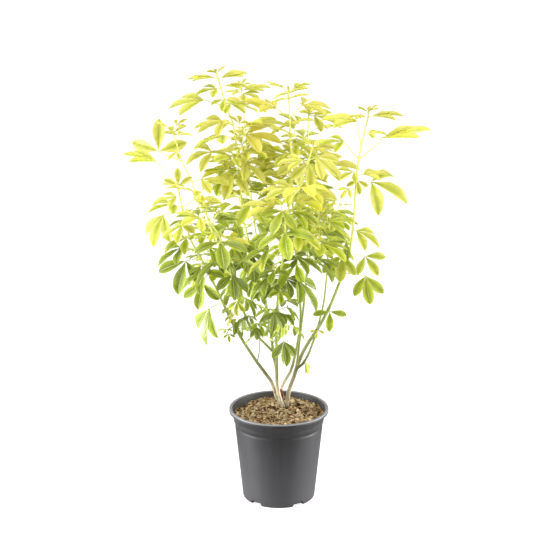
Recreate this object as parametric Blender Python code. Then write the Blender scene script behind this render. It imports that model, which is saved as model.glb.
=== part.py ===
"""Potted mexican orange: a golden-leaved Choisya with four leafy stems, in its soil and nursery pot.

Metres, +Z up. The origin is the centre of the pot's flat base. The plant is seen in the
photograph by looking along +Y, with +X to the right.
"""
import math
import random

import bmesh
import bpy
from mathutils import Vector, noise
from mathutils.bvhtree import BVHTree

# The pot's outside: heights from its base up, and the radius that goes with each.
POT_HEIGHT = 0.1790
RIM_RADIUS = 0.0950
LIP_WIDTH = 0.0058
LIP_DEPTH = 0.0060
LIP_SKIRT = 0.0016
SHOULDER_HEIGHT = 0.1600
SHOULDER_FOOT = 0.1535
SHOULDER_RADIUS = 0.0868
BAND_TOP = 0.1475
BAND_RADIUS = 0.0830
STEP_HEIGHT = 0.1435
STEP_RISE = 0.0010
BASE_RADIUS = 0.0688
WALL_SLOPE = 0.1045
FOOT_BEVEL = 0.0018
WALL = 0.0016
ROUND_SIDES = 32

# The drainage notches round the pot's bottom edge.
NOTCHES = 5
NOTCH_TURN = -129.0
NOTCH_WIDTH = 0.0270
NOTCH_TOP_SHARE = 0.72
NOTCH_HEIGHT = 0.0080
NOTCH_REACH = (0.0578, 0.0748)

# The soil, and the clearance that touching pieces keep.
CLEARANCE = 0.0003
SOIL_EDGE = 0.1660
SOIL_CROWN = 0.1715
SOIL_RINGS = (0.82, 0.60, 0.38, 0.18)
SOIL_ROUGHNESS = 0.0018
LUMPS_PER_METRE = 60.0
CROWN_CENTRE = (0.005, 0.036)
ROOTING_DEPTH = 0.0550
HOLE_LENGTH = 0.0800
HOLE_SIDES = 8

# The stems.
STEM_SIDES = 5
SIDE_SHOOT_SIDES = 4
TAPER = 0.8
ROUTE_STEP = 0.045

# The leaves: three leaflets on a stalk, in crossed pairs that are closer and smaller near the tip.
LEAFLET = 0.060
LEAFLET_SLIMNESS = 0.40
SIDE_LEAFLET = 0.86
SIDE_SPREADS = (48.0, 66.0)
BLADE_THICKNESS = 0.0016
STALK_THICKNESS = 0.0020
TIP_DISTANCE = 0.003
FIRST_GAP = 0.018
GAP_GROWTH = 0.010
WIDEST_GAP = 0.044
FULL_GROWN = 3.0
HANGING_BELOW = 0.62
HANGING_OVER = 0.20

# A leaflet's outline: the share of its length at which a point lies, and its share of the half
# width, of the fold's lift and of the tip's droop there.
SHOULDER = (0.44, 0.94, 1.0, 0.08)
CHEEK = (0.83, 0.78, 0.7, 0.60)
MIDRIB = (0.54, 0.0, 0.0, 0.16)
LEAFLET_ROOT = 0.09
HUB_LENGTH = 0.003

# How a leaf bends clear of what stands near it: shrinking, then swinging aside and up or down.
SPARE_ROOM = 0.0012
NEAR_ENOUGH_TO_TOUCH = 0.20
SHRINKS = (1.0, 0.88, 0.75)
SWINGS = ((0, 0), (10, 0), (-10, 0), (0, 12), (0, -12), (20, 6), (-20, 6), (20, -10), (-20, -10),
          (32, 0), (-32, 0), (0, 24), (0, -24), (44, 10), (-44, 10))

LEAF_GREEN = (0.52, 0.56, 0.07)
BARK_GREEN = (0.30, 0.33, 0.12)
SOIL_BROWN = (0.16, 0.10, 0.05)
POT_GREY = (0.045, 0.045, 0.050)


def leaf_at(height, stalk, blade, length, spread=58.0, droop=0.12, fold=0.40):
    """A leaf placed by hand, as it shows in the photograph.

    height: of its root on the shoot. stalk: its turn, its pitch and its length. blade: its turn, its
    pitch and its roll. length: of its middle leaflet. spread: between leaflets.
    """
    return dict(height=height, stalk_turn=stalk[0], stalk_pitch=stalk[1], stalk=stalk[2], turn=blade[0],
                pitch=blade[1], roll=blade[2], length=length, spread=spread, droop=droop, fold=fold)


def shoot(route, radii, pairs, turn, twists=(), bare=(), age=0, leaf=1.0, placed=()):
    """One shoot, from its foot to its tip, and what it bears.

    route: the points that it passes through. radii: at its foot and at its tip.
    pairs: its number of leaf pairs. turn: where the tip pair points (0 is +X, 90 is +Y).
    twists: the turns of pairs that twist towards the light, by their number from the tip.
    bare: the pairs that it has lost. age: of the tip pair (3 is full grown). leaf: its leaf size.
    placed: the leaves that are placed by hand.
    """
    return dict(route=route, radii=radii, pairs=pairs, turn=turn, twists=dict(twists), bare=bare, age=age,
                leaf=leaf, placed=placed)


# Each leafy stem and its shoots, the main one first.
STEMS = {
    "stem_left": [
        shoot([(0.003, 0.031, 0.173), (-0.005, 0.029, 0.193), (-0.014, 0.025, 0.221),
               (-0.025, 0.021, 0.239), (-0.049, 0.013, 0.277), (-0.084, 0.000, 0.342),
               (-0.124, -0.020, 0.439), (-0.145, -0.030, 0.486), (-0.164, -0.035, 0.527),
               (-0.181, -0.032, 0.605), (-0.185, -0.030, 0.627)],
              (0.0040, 0.0012), pairs=6, bare=(0,), turn=10, twists=[(3, 215), (5, 212)], placed=[
                  leaf_at(0.622, (180, 49, 0.056), (180, 13, -7), 0.066, spread=34, droop=0.05),
                  leaf_at(0.613, (90, 60, 0.006), (95, 72, 0), 0.034),
                  leaf_at(0.600, (190, 0, 0.006), (195, -12, -8), 0.046),
                  leaf_at(0.572, (185, -8, 0.036), (222, -62, -10), 0.062, spread=34),
                  leaf_at(0.484, (180, -14, 0.028), (230, -55, -20), 0.064, spread=55),
                  leaf_at(0.452, (190, -55, 0.022), (262, -70, 0), 0.050, spread=50),
                  leaf_at(0.392, (182, -25, 0.028), (213, -80, 0), 0.072, spread=38, fold=0.50),
                  leaf_at(0.350, (20, 0, 0.004), (325, -74, 0), 0.034, spread=36),
              ]),
        shoot([(-0.084, 0.000, 0.342), (-0.092, 0.004, 0.336), (-0.098, 0.006, 0.326)],
              (0.0011, 0.0008), pairs=1, turn=120, age=2, leaf=0.40),
        shoot([(-0.041, 0.016, 0.264), (-0.037, 0.012, 0.290), (-0.036, 0.006, 0.322)],
              (0.0012, 0.0008), pairs=1, turn=15, age=2, leaf=0.38),
    ],
    "stem_middle": [
        shoot([(0.008, 0.022, 0.173), (0.001, 0.021, 0.193), (-0.003, 0.018, 0.216),
               (-0.004, 0.010, 0.247), (-0.004, -0.008, 0.287), (-0.005, -0.040, 0.345),
               (-0.002, -0.070, 0.415), (0.005, -0.100, 0.487), (0.011, -0.120, 0.539),
               (0.014, -0.140, 0.593), (0.036, -0.145, 0.650), (0.052, -0.140, 0.691),
               (0.058, -0.137, 0.713)],
              (0.0038, 0.0012), pairs=8, bare=(1, 2), turn=0,
              twists=[(3, -35), (4, -10), (5, 268), (7, -22)], leaf=1.10, placed=[
                  leaf_at(0.689, (10, 25, 0.014), (338, -32, 25), 0.054, spread=45),
                  leaf_at(0.685, (268, 15, 0.006), (258, -55, 0), 0.050, spread=50),
                  leaf_at(0.687, (180, 10, 0.010), (186, -4, -14), 0.046, spread=50),
                  leaf_at(0.655, (0, 28, 0.010), (356, 4, 8), 0.048, spread=50),
                  leaf_at(0.640, (5, 18, 0.012), (354, -2, 12), 0.060, spread=48),
                  leaf_at(0.638, (190, 20, 0.010), (196, -12, -20), 0.050),
                  leaf_at(0.596, (200, 20, 0.010), (235, -40, -15), 0.050),
                  leaf_at(0.592, (340, 20, 0.012), (325, -35, 15), 0.056),
                  leaf_at(0.390, (270, 0, 0.006), (266, -42, 0), 0.026, spread=50),
                  leaf_at(0.382, (350, 10, 0.014), (318, -35, 10), 0.028, spread=30),
                  leaf_at(0.370, (0, -20, 0.012), (322, -72, 0), 0.028, spread=38),
                  leaf_at(0.363, (340, -67, 0.036), (285, -66, 0), 0.046, spread=38),
                  leaf_at(0.282, (330, -20, 0.003), (305, -72, 60), 0.026, spread=20, droop=0.30),
              ]),
        shoot([(-0.004, 0.010, 0.247), (-0.008, 0.022, 0.267), (-0.011, 0.032, 0.280),
               (-0.018, 0.058, 0.325), (-0.032, 0.070, 0.392), (-0.055, 0.070, 0.478),
               (-0.068, 0.062, 0.542), (-0.073, 0.058, 0.613), (-0.083, 0.050, 0.707),
               (-0.097, 0.040, 0.754), (-0.107, 0.030, 0.792), (-0.114, 0.030, 0.814)],
              (0.0032, 0.0012), pairs=10, bare=(1, 2, 3), turn=20, twists=[(5, 235)], leaf=1.08, placed=[
                  leaf_at(0.804, (0, 25, 0.007), (3, 12, 8), 0.050, spread=30, droop=0.05),
                  leaf_at(0.804, (180, 20, 0.008), (178, 0, 0), 0.050, spread=30, droop=0.10),
                  leaf_at(0.790, (350, 12, 0.008), (355, 2, 0), 0.046, spread=30),
                  leaf_at(0.787, (190, 0, 0.008), (195, -10, -10), 0.042),
                  leaf_at(0.765, (268, 10, 0.010), (262, -32, 0), 0.030, spread=66),
                  leaf_at(0.754, (330, 20, 0.010), (318, -15, 10), 0.040, spread=60),
                  leaf_at(0.754, (180, 14, 0.042), (181, -8, -14), 0.068, spread=42, droop=0.12),
                  leaf_at(0.695, (0, 8, 0.020), (352, -8, 20), 0.068, spread=55),
                  leaf_at(0.715, (185, 25, 0.020), (190, -18, -20), 0.052),
                  leaf_at(0.668, (180, -5, 0.046), (185, -8, -25), 0.055, droop=0.32),
                  leaf_at(0.645, (350, 0, 0.014), (332, -35, 10), 0.056),
                  leaf_at(0.625, (220, -5, 0.012), (242, -45, -10), 0.054),
              ]),
        shoot([(-0.011, 0.032, 0.280), (-0.014, 0.055, 0.300), (-0.021, 0.090, 0.335),
               (-0.035, 0.135, 0.420), (-0.052, 0.160, 0.535), (-0.061, 0.165, 0.644),
               (-0.068, 0.155, 0.723), (-0.072, 0.150, 0.770)],
              (0.0025, 0.0011), pairs=8, bare=(1,), turn=80, leaf=1.08, placed=[
                  leaf_at(0.762, (0, 25, 0.006), (8, 10, 4), 0.052, spread=36),
                  leaf_at(0.757, (312, 10, 0.006), (330, -12, 12), 0.038, spread=60),
                  leaf_at(0.758, (180, 20, 0.005), (175, 5, -5), 0.028),
                  leaf_at(0.735, (0, 10, 0.015), (0, -6, 8), 0.052, spread=42),
                  leaf_at(0.658, (355, 5, 0.034), (300, -68, 0), 0.050, spread=28),
              ]),
        shoot([(-0.004, -0.008, 0.287), (-0.022, -0.010, 0.306), (-0.050, -0.024, 0.343),
               (-0.065, -0.040, 0.382), (-0.075, -0.060, 0.419), (-0.092, -0.080, 0.487),
               (-0.121, -0.100, 0.556), (-0.134, -0.110, 0.609)],
              (0.0026, 0.0012), pairs=5, turn=0, twists=[(3, 255)], placed=[
                  leaf_at(0.462, (290, -10, 0.012), (310, -64, 0), 0.046, spread=44),
                  leaf_at(0.440, (100, -5, 0.014), (140, -60, 0), 0.048),
                  leaf_at(0.372, (200, 0, 0.004), (215, -76, 0), 0.034, spread=38),
                  leaf_at(0.352, (10, -10, 0.010), (285, -66, 0), 0.028, spread=30),
              ]),
        shoot([(-0.088, -0.075, 0.470), (-0.106, -0.030, 0.516), (-0.148, 0.020, 0.576),
               (-0.163, 0.036, 0.615), (-0.178, 0.040, 0.646), (-0.190, 0.040, 0.687),
               (-0.199, 0.040, 0.707)],
              (0.0020, 0.0010), pairs=2, turn=10, age=1, leaf=0.80, placed=[
                  leaf_at(0.648, (180, 22, 0.048), (92, 80, 0), 0.062, spread=72),
                  leaf_at(0.668, (200, 0, 0.006), (190, -25, -15), 0.024),
                  leaf_at(0.612, (350, 5, 0.018), (348, -14, 20), 0.056),
              ]),
        shoot([(-0.0125, 0.0385, 0.292), (-0.004, 0.042, 0.308), (0.006, 0.044, 0.326)],
              (0.0011, 0.0008), pairs=1, turn=-40, age=2, leaf=0.75),
        shoot([(-0.005, -0.028, 0.324), (0.002, -0.036, 0.338), (0.013, -0.044, 0.356)],
              (0.0011, 0.0008), pairs=1, turn=-10, age=2, leaf=0.55),
    ],
    "stem_back": [
        shoot([(0.005, 0.043, 0.173), (0.005, 0.046, 0.199), (0.012, 0.049, 0.215),
               (0.024, 0.054, 0.236), (0.032, 0.062, 0.266), (0.036, 0.068, 0.283),
               (0.042, 0.083, 0.323), (0.041, 0.098, 0.363), (0.033, 0.100, 0.460),
               (0.025, 0.090, 0.581), (0.021, 0.070, 0.681), (0.019, 0.060, 0.748),
               (0.017, 0.060, 0.776)],
              (0.0034, 0.0012), pairs=9, turn=5, age=1, leaf=1.05, placed=[
                  leaf_at(0.655, (200, 5, 0.012), (188, -6, -18), 0.052),
                  leaf_at(0.640, (300, 0, 0.014), (290, -45, 0), 0.052),
                  leaf_at(0.676, (330, 10, 0.012), (328, -25, 12), 0.054),
              ]),
        shoot([(0.036, 0.068, 0.283), (0.042, 0.090, 0.309), (0.049, 0.130, 0.343),
               (0.056, 0.170, 0.420), (0.059, 0.180, 0.580), (0.056, 0.165, 0.663),
               (0.057, 0.150, 0.727)],
              (0.0027, 0.0011), pairs=7, turn=0, leaf=1.08, placed=[
                  leaf_at(0.716, (0, -10, 0.010), (350, -15, 20), 0.056),
                  leaf_at(0.650, (330, 10, 0.016), (325, -30, 10), 0.056),
              ]),
        shoot([(0.005, 0.044, 0.176), (0.007, 0.038, 0.189), (0.004, 0.034, 0.202)],
              (0.0031, 0.0026), pairs=0, turn=0),
    ],
    "stem_right": [
        shoot([(0.016, 0.033, 0.173), (0.019, 0.031, 0.198), (0.024, 0.029, 0.216),
               (0.030, 0.025, 0.235), (0.033, 0.022, 0.248), (0.044, 0.012, 0.282),
               (0.055, 0.005, 0.306), (0.077, -0.004, 0.345), (0.095, -0.014, 0.385),
               (0.116, -0.030, 0.448), (0.129, -0.030, 0.492), (0.135, -0.025, 0.533),
               (0.138, -0.020, 0.577), (0.141, -0.020, 0.638), (0.147, -0.020, 0.682),
               (0.157, -0.020, 0.729), (0.161, -0.020, 0.752)],
              (0.0044, 0.0012), pairs=1, turn=30, placed=[
                  leaf_at(0.666, (0, 43, 0.058), (358, 9, 4), 0.088, spread=30, droop=0.0),
                  leaf_at(0.600, (0, 40, 0.037), (350, -14, 28), 0.074, spread=62, droop=0.34),
                  leaf_at(0.690, (180, 80, 0.046), (182, 8, -7), 0.068, spread=38),
                  leaf_at(0.666, (180, 50, 0.044), (184, -4, -12), 0.050, droop=0.15),
                  leaf_at(0.742, (0, 20, 0.010), (0, 4, 5), 0.054, spread=30),
                  leaf_at(0.742, (180, 20, 0.005), (180, 5, 0), 0.032, spread=45),
                  leaf_at(0.712, (340, 15, 0.008), (350, 5, 5), 0.034),
                  leaf_at(0.636, (355, 10, 0.012), (355, 2, 8), 0.046, spread=45),
                  leaf_at(0.640, (205, 25, 0.008), (215, -15, -25), 0.034),
                  leaf_at(0.628, (285, 0, 0.006), (280, -60, 0), 0.028),
                  leaf_at(0.610, (195, 10, 0.014), (215, -40, -20), 0.024),
                  leaf_at(0.534, (340, 0, 0.006), (340, -20, 15), 0.050, spread=40, droop=0.30),
                  leaf_at(0.515, (200, 10, 0.010), (205, -15, -55), 0.048),
                  leaf_at(0.490, (200, -5, 0.012), (242, -65, -20), 0.050, spread=45),
                  leaf_at(0.492, (355, -12, 0.030), (315, -45, 40), 0.044),
                  leaf_at(0.455, (0, -8, 0.042), (290, -65, 25), 0.052, spread=40),
                  leaf_at(0.378, (300, -20, 0.006), (270, -55, 0), 0.038, spread=76),
                  leaf_at(0.338, (260, -30, 0.004), (260, -50, 0), 0.018, spread=70),
              ]),
        shoot([(0.030, 0.025, 0.235), (0.035, 0.010, 0.269), (0.038, -0.008, 0.305),
               (0.042, -0.028, 0.353), (0.047, -0.050, 0.408), (0.053, -0.080, 0.481),
               (0.061, -0.100, 0.543), (0.076, -0.110, 0.609)],
              (0.0027, 0.0012), pairs=5, turn=30, twists=[(2, 200), (4, 240)]),
        shoot([(0.033, 0.022, 0.248), (0.046, 0.024, 0.259), (0.056, 0.022, 0.278),
               (0.063, 0.020, 0.298), (0.070, 0.021, 0.319), (0.079, 0.029, 0.351),
               (0.086, 0.040, 0.381), (0.092, 0.070, 0.431), (0.094, 0.090, 0.483),
               (0.092, 0.100, 0.530), (0.088, 0.100, 0.562)],
              (0.0026, 0.0011), pairs=4, turn=20, placed=[
                  leaf_at(0.455, (10, 0, 0.012), (255, -60, 0), 0.042, spread=36),
                  leaf_at(0.262, (330, -10, 0.003), (332, -66, 0), 0.026, spread=34),
              ]),
    ],
}


def start_empty():
    """Remove what the file holds at the start."""
    for thing in list(bpy.data.objects):
        bpy.data.objects.remove(thing)


def material(name, colour, roughness):
    """A plain finish for one kind of surface."""
    finish = bpy.data.materials.new(name)
    finish.use_nodes = True
    shader = finish.node_tree.nodes["Principled BSDF"]
    shader.inputs["Base Color"].default_value = (*colour, 1.0)
    shader.inputs["Roughness"].default_value = roughness
    shader.inputs["Metallic"].default_value = 0.0
    finish.diffuse_color = (*colour, 1.0)
    return finish


def add_object(name, mesh, *finishes):
    """Put a mesh in the scene under the name of its piece."""
    thing = bpy.data.objects.new(name, mesh)
    for finish in finishes:
        if finish.name not in mesh.materials:
            mesh.materials.append(finish)
    bpy.context.scene.collection.objects.link(thing)
    return thing


def mesh_from(name, points, faces, slot=0):
    """A mesh from its points and faces, all of them in one material slot."""
    mesh = bpy.data.meshes.new(name)
    mesh.from_pydata([tuple(point) for point in points], [], faces)
    for face in mesh.polygons:
        face.material_index = slot
    return mesh


def combine(thing, operation, others):
    """Join other solids to a solid, or cut them out of it, and remove them."""
    tools = bpy.data.collections.new(thing.name + "_tools")
    bpy.context.scene.collection.children.link(tools)
    for other in others:
        bpy.context.scene.collection.objects.unlink(other)
        tools.objects.link(other)
    boolean = thing.modifiers.new(operation.lower(), "BOOLEAN")
    boolean.operation = operation
    boolean.operand_type = "COLLECTION"
    boolean.collection = tools
    boolean.solver = "EXACT"
    seen = thing.evaluated_get(bpy.context.evaluated_depsgraph_get())
    result = bpy.data.meshes.new_from_object(seen)
    thing.modifiers.clear()
    thing.data = result
    for other in others:
        bpy.data.objects.remove(other)
    bpy.data.collections.remove(tools)


def turned(profile):
    """A turned solid: a profile of (radius, height) points, from the axis and back to it, spun about Z."""
    work = bmesh.new()
    corners = [work.verts.new((radius, 0.0, height)) for radius, height in profile]
    edges = [work.edges.new(pair) for pair in zip(corners, corners[1:])]
    bmesh.ops.spin(work, geom=corners + edges, cent=(0, 0, 0), axis=(0, 0, 1), angle=math.tau,
                   steps=ROUND_SIDES, use_merge=True)
    bmesh.ops.remove_doubles(work, verts=work.verts, dist=0.00001)
    bmesh.ops.recalc_face_normals(work, faces=work.faces)
    mesh = bpy.data.meshes.new("turned")
    work.to_mesh(mesh)
    work.free()
    return mesh


def smooth_edges(thing, angle):
    """Shade a round piece smooth, and keep its edges above an angle sharp."""
    thing.data.shade_smooth()
    thing.data.set_sharp_from_angle(angle=math.radians(angle))


def wall_radius(height):
    """The outer radius of the pot's sloping wall at a height."""
    return BASE_RADIUS + WALL_SLOPE * height


def inner_wall():
    """The pot's inside as (radius, height) points, from the floor up to the lip."""
    return [(BASE_RADIUS - WALL, WALL), (BAND_RADIUS - WALL, STEP_HEIGHT), (BAND_RADIUS - WALL, BAND_TOP),
            (SHOULDER_RADIUS - WALL, SHOULDER_HEIGHT - WALL)]


def make_pot(plastic):
    """The moulded pot: floor, sloping wall, small step, shoulder and a lip that turns down outside."""
    wall = [(BASE_RADIUS - FOOT_BEVEL, 0.0), (wall_radius(FOOT_BEVEL), FOOT_BEVEL),
            (wall_radius(STEP_HEIGHT), STEP_HEIGHT), (BAND_RADIUS, STEP_HEIGHT + STEP_RISE),
            (BAND_RADIUS, BAND_TOP), (SHOULDER_RADIUS - STEP_RISE, SHOULDER_FOOT),
            (SHOULDER_RADIUS, SHOULDER_HEIGHT)]
    bottom = POT_HEIGHT - LIP_DEPTH
    skirt_inside = RIM_RADIUS - LIP_SKIRT
    lip_inside = RIM_RADIUS - LIP_WIDTH
    lip = [(skirt_inside, POT_HEIGHT - 2 * LIP_SKIRT), (skirt_inside, bottom), (RIM_RADIUS, bottom),
           (RIM_RADIUS, POT_HEIGHT - LIP_SKIRT), (skirt_inside, POT_HEIGHT),
           (lip_inside + LIP_SKIRT, POT_HEIGHT), (lip_inside, POT_HEIGHT - LIP_SKIRT)]
    profile = [(0.0, 0.0)] + wall + lip + inner_wall()[::-1] + [(0.0, WALL)]
    pot = add_object("pot", turned(profile), plastic)
    notches = [add_object("notch", notch_cutter(NOTCH_TURN + 360.0 / NOTCHES * i)) for i in range(NOTCHES)]
    combine(pot, "DIFFERENCE", notches)
    smooth_edges(pot, 35)


def notch_cutter(turn):
    """One drainage notch, narrower at its top, cut inwards through the pot's bottom edge."""
    out = Vector((math.cos(math.radians(turn)), math.sin(math.radians(turn)), 0.0))
    side = Vector((-out.y, out.x, 0.0)) * (NOTCH_WIDTH / 2)
    section = ((-1.0, -FOOT_BEVEL), (1.0, -FOOT_BEVEL), (NOTCH_TOP_SHARE, NOTCH_HEIGHT),
               (-NOTCH_TOP_SHARE, NOTCH_HEIGHT))
    points = [out * reach + side * across + Vector((0, 0, height))
              for reach in NOTCH_REACH for across, height in section]
    faces = [(3, 2, 1, 0), (4, 5, 6, 7), (1, 5, 4, 0), (2, 6, 5, 1), (3, 7, 6, 2), (0, 4, 7, 3)]
    return mesh_from("notch", points, faces)


def soil_height(x, y):
    """The soil's surface: mounded round the plant and rough with lumps."""
    away = math.hypot(x - CROWN_CENTRE[0], y - CROWN_CENTRE[1]) / RIM_RADIUS
    mound = (SOIL_CROWN - SOIL_EDGE) * max(0.0, 1.0 - away)
    return SOIL_EDGE + mound + SOIL_ROUGHNESS * noise.noise(Vector((x, y, 0.0)) * LUMPS_PER_METRE)


def make_soil(earth):
    """The soil, which fills the pot to 13 mm under its rim, with a plain hole for each stem."""
    sides = [(radius - CLEARANCE, height) for radius, height in inner_wall()]
    floor = WALL + CLEARANCE
    sides[0] = (sides[0][0], floor)
    edge = sides[-1][0] + STEP_RISE
    rings = [edge * share for share in SOIL_RINGS]
    profile = [(0.0, floor)] + sides + [(ring, SOIL_EDGE) for ring in [edge] + rings] + [(0.0, SOIL_EDGE)]
    mesh = turned(profile)
    for point in mesh.vertices:
        if math.isclose(point.co.z, SOIL_EDGE, abs_tol=1e-6) and point.co.xy.length < edge - CLEARANCE:
            point.co.z = soil_height(point.co.x, point.co.y)
    soil = add_object("soil", mesh, earth)
    combine(soil, "DIFFERENCE", [stem_hole(shoots[0]) for shoots in STEMS.values()])
    smooth_edges(soil, 60)


def stem_hole(main_shoot):
    """The plain round hole in the soil that a stem stands in, as a cutter."""
    x, y, z = main_shoot["route"][0]
    radius = (main_shoot["radii"][0] + CLEARANCE) / math.cos(math.pi / HOLE_SIDES)
    bottom = z - ROOTING_DEPTH - CLEARANCE
    work = bmesh.new()
    bmesh.ops.create_cone(work, cap_ends=True, segments=HOLE_SIDES, radius1=radius, radius2=radius,
                          depth=HOLE_LENGTH)
    bmesh.ops.translate(work, verts=work.verts, vec=(x, y, bottom + HOLE_LENGTH / 2))
    hole = bpy.data.meshes.new("hole")
    work.to_mesh(hole)
    work.free()
    return add_object("hole", hole)


def curve_through(points):
    """Points about a step apart on a smooth curve through a route, with their distances along it."""
    knots = [Vector(point) for point in points]
    knots = [knots[0] * 2 - knots[1]] + knots + [knots[-1] * 2 - knots[-2]]
    curve = [knots[1]]
    for before, start, end, after in zip(knots, knots[1:], knots[2:], knots[3:]):
        parts = max(1, round((end - start).length / ROUTE_STEP))
        for i in range(1, parts + 1):
            t = i / parts
            curve.append(0.5 * (2 * start + (end - before) * t
                                + (2 * before - 5 * start + 4 * end - after) * t ** 2
                                + (3 * start - before - 3 * end + after) * t ** 3))
    along = [0.0]
    for start, end in zip(curve, curve[1:]):
        along.append(along[-1] + (end - start).length)
    return curve, along


def point_on(curve, along, distance):
    """The point of a curve at a distance along it."""
    for i in range(1, len(curve)):
        if distance <= along[i] or i == len(curve) - 1:
            share = (distance - along[i - 1]) / (along[i] - along[i - 1])
            return curve[i - 1].lerp(curve[i], min(1.0, max(0.0, share)))


def tube(curve, radii, sides):
    """A tapered tube along a curve, closed at both ends."""
    points, faces = [], []
    across = Vector((1.0, 0.0, 0.0))
    for i, centre in enumerate(curve):
        heading = (curve[min(i + 1, len(curve) - 1)] - curve[max(i - 1, 0)]).normalized()
        across = (across - heading * across.dot(heading)).normalized()
        other = heading.cross(across)
        for k in range(sides):
            turn = math.tau * k / sides
            points.append(centre + (across * math.cos(turn) + other * math.sin(turn)) * radii[i])
    for i in range(len(curve) - 1):
        for k in range(sides):
            a, b = i * sides + k, i * sides + (k + 1) % sides
            faces.append((a, b, b + sides, a + sides))
    faces.append(tuple(range(sides))[::-1])
    faces.append(tuple(range(len(points) - sides, len(points))))
    return points, faces


def shoot_tube(growth, rooted):
    """A shoot's curve, the distances along it, and its tube, which goes down into the soil if rooted."""
    curve, along = curve_through(growth["route"])
    foot, tip = growth["radii"]
    radii = [foot + (tip - foot) * (distance / along[-1]) ** TAPER for distance in along]
    if rooted:
        sunk = [curve[0] - Vector((0, 0, ROOTING_DEPTH))] + curve
        return curve, along, tube(sunk, [foot] + radii, STEM_SIDES)
    return curve, along, tube(curve, radii, SIDE_SHOOT_SIDES)


def leaf_axes(turn, pitch, roll):
    """The way ahead, to the left and up of a blade that is turned, pitched and rolled by degrees."""
    turn, pitch, roll = (math.radians(angle) for angle in (turn, pitch, roll))
    out = Vector((math.cos(turn), math.sin(turn), 0.0))
    level_left = Vector((-out.y, out.x, 0.0))
    ahead = out * math.cos(pitch) + Vector((0, 0, math.sin(pitch)))
    level_up = ahead.cross(level_left)
    left = level_left * math.cos(roll) + level_up * math.sin(roll)
    return ahead, left, ahead.cross(left)


def leaf_solid(leaf, spare=0.0):
    """One leaf as a closed solid: a three-sided stalk and three folded leaflets with sharp rims.

    Every leaflet is a fan round a point of its midrib, alike on its upper and lower face. Spare
    room makes the leaf that much larger all over. The first seven faces are the stalk's.
    """
    ahead, left, up = leaf_axes(leaf["turn"], leaf["pitch"], leaf["roll"])
    rise = leaf_axes(leaf["stalk_turn"], leaf["stalk_pitch"], 0.0)[0]
    half_stalk = STALK_THICKNESS / 2 + spare
    half_blade = BLADE_THICKNESS / 2 + spare
    root = leaf["root"]
    hub = root + rise * leaf["stalk"]
    centre = hub + ahead * HUB_LENGTH
    notch = LEAFLET_ROOT * leaf["length"] + spare
    half = math.radians(leaf["spread"] / 2)
    points = [root + left * half_stalk, root - left * half_stalk, root - up * half_stalk,
              hub + left * half_stalk, hub - left * half_stalk, hub - up * half_stalk,
              centre + up * half_blade, centre - up * half_blade,
              hub + (ahead * math.cos(half) + left * math.sin(half)) * notch,
              hub + (ahead * math.cos(half) - left * math.sin(half)) * notch]
    faces = [(0, 1, 4, 3), (2, 5, 4, 1), (0, 3, 5, 2), (2, 1, 0), (6, 3, 4), (7, 5, 3), (7, 4, 5)]
    for side, size, right_notch, left_notch in ((0, 1.0, 9, 8), (1, SIDE_LEAFLET, 8, 3),
                                                (-1, SIDE_LEAFLET, 4, 9)):
        first = len(points)
        points += leaflet_points(leaf, hub, (ahead, left, up), side * leaf["spread"], size, spare)
        for centre_point, hub_point, upper in ((first, 6, True), (first + 1, 7, False)):
            rim = [hub_point, right_notch] + list(range(first + 2, first + 7)) + [left_notch]
            for near, far in zip(rim, rim[1:] + rim[:1]):
                faces.append((centre_point, near, far) if upper else (centre_point, far, near))
    return points, faces


def leaflet_points(leaf, hub, axes, spread, size, spare):
    """The seven points of a leaflet: its midrib above and below, then its rim from right to left."""
    ahead, left, up = axes
    spread = math.radians(spread)
    along = ahead * math.cos(spread) + left * math.sin(spread)
    aside = left * math.cos(spread) - ahead * math.sin(spread)
    length = leaf["length"] * size
    half_width = length * LEAFLET_SLIMNESS / 2
    lift = leaf["fold"] * half_width
    droop = leaf["droop"] * length
    half_blade = BLADE_THICKNESS / 2 + spare
    (middle, _), (shoulder, shoulder_out), (cheek, cheek_out) = [
        (hub + along * (station * length) + up * (raised * lift - sunk * droop),
         aside * (width * half_width + spare))
        for station, width, raised, sunk in (MIDRIB, SHOULDER, CHEEK)]
    tip = hub + along * (length + spare) - up * droop
    return [middle + up * half_blade, middle - up * half_blade, shoulder - shoulder_out,
            cheek - cheek_out, tip, cheek + cheek_out, shoulder + shoulder_out]


def distance_at(curve, along, height):
    """The distance along a rising curve at which it reaches a height."""
    for i in range(1, len(curve)):
        if curve[i].z >= height:
            share = (height - curve[i - 1].z) / (curve[i].z - curve[i - 1].z)
            return along[i - 1] + (along[i] - along[i - 1]) * share
    return along[-1]


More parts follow.
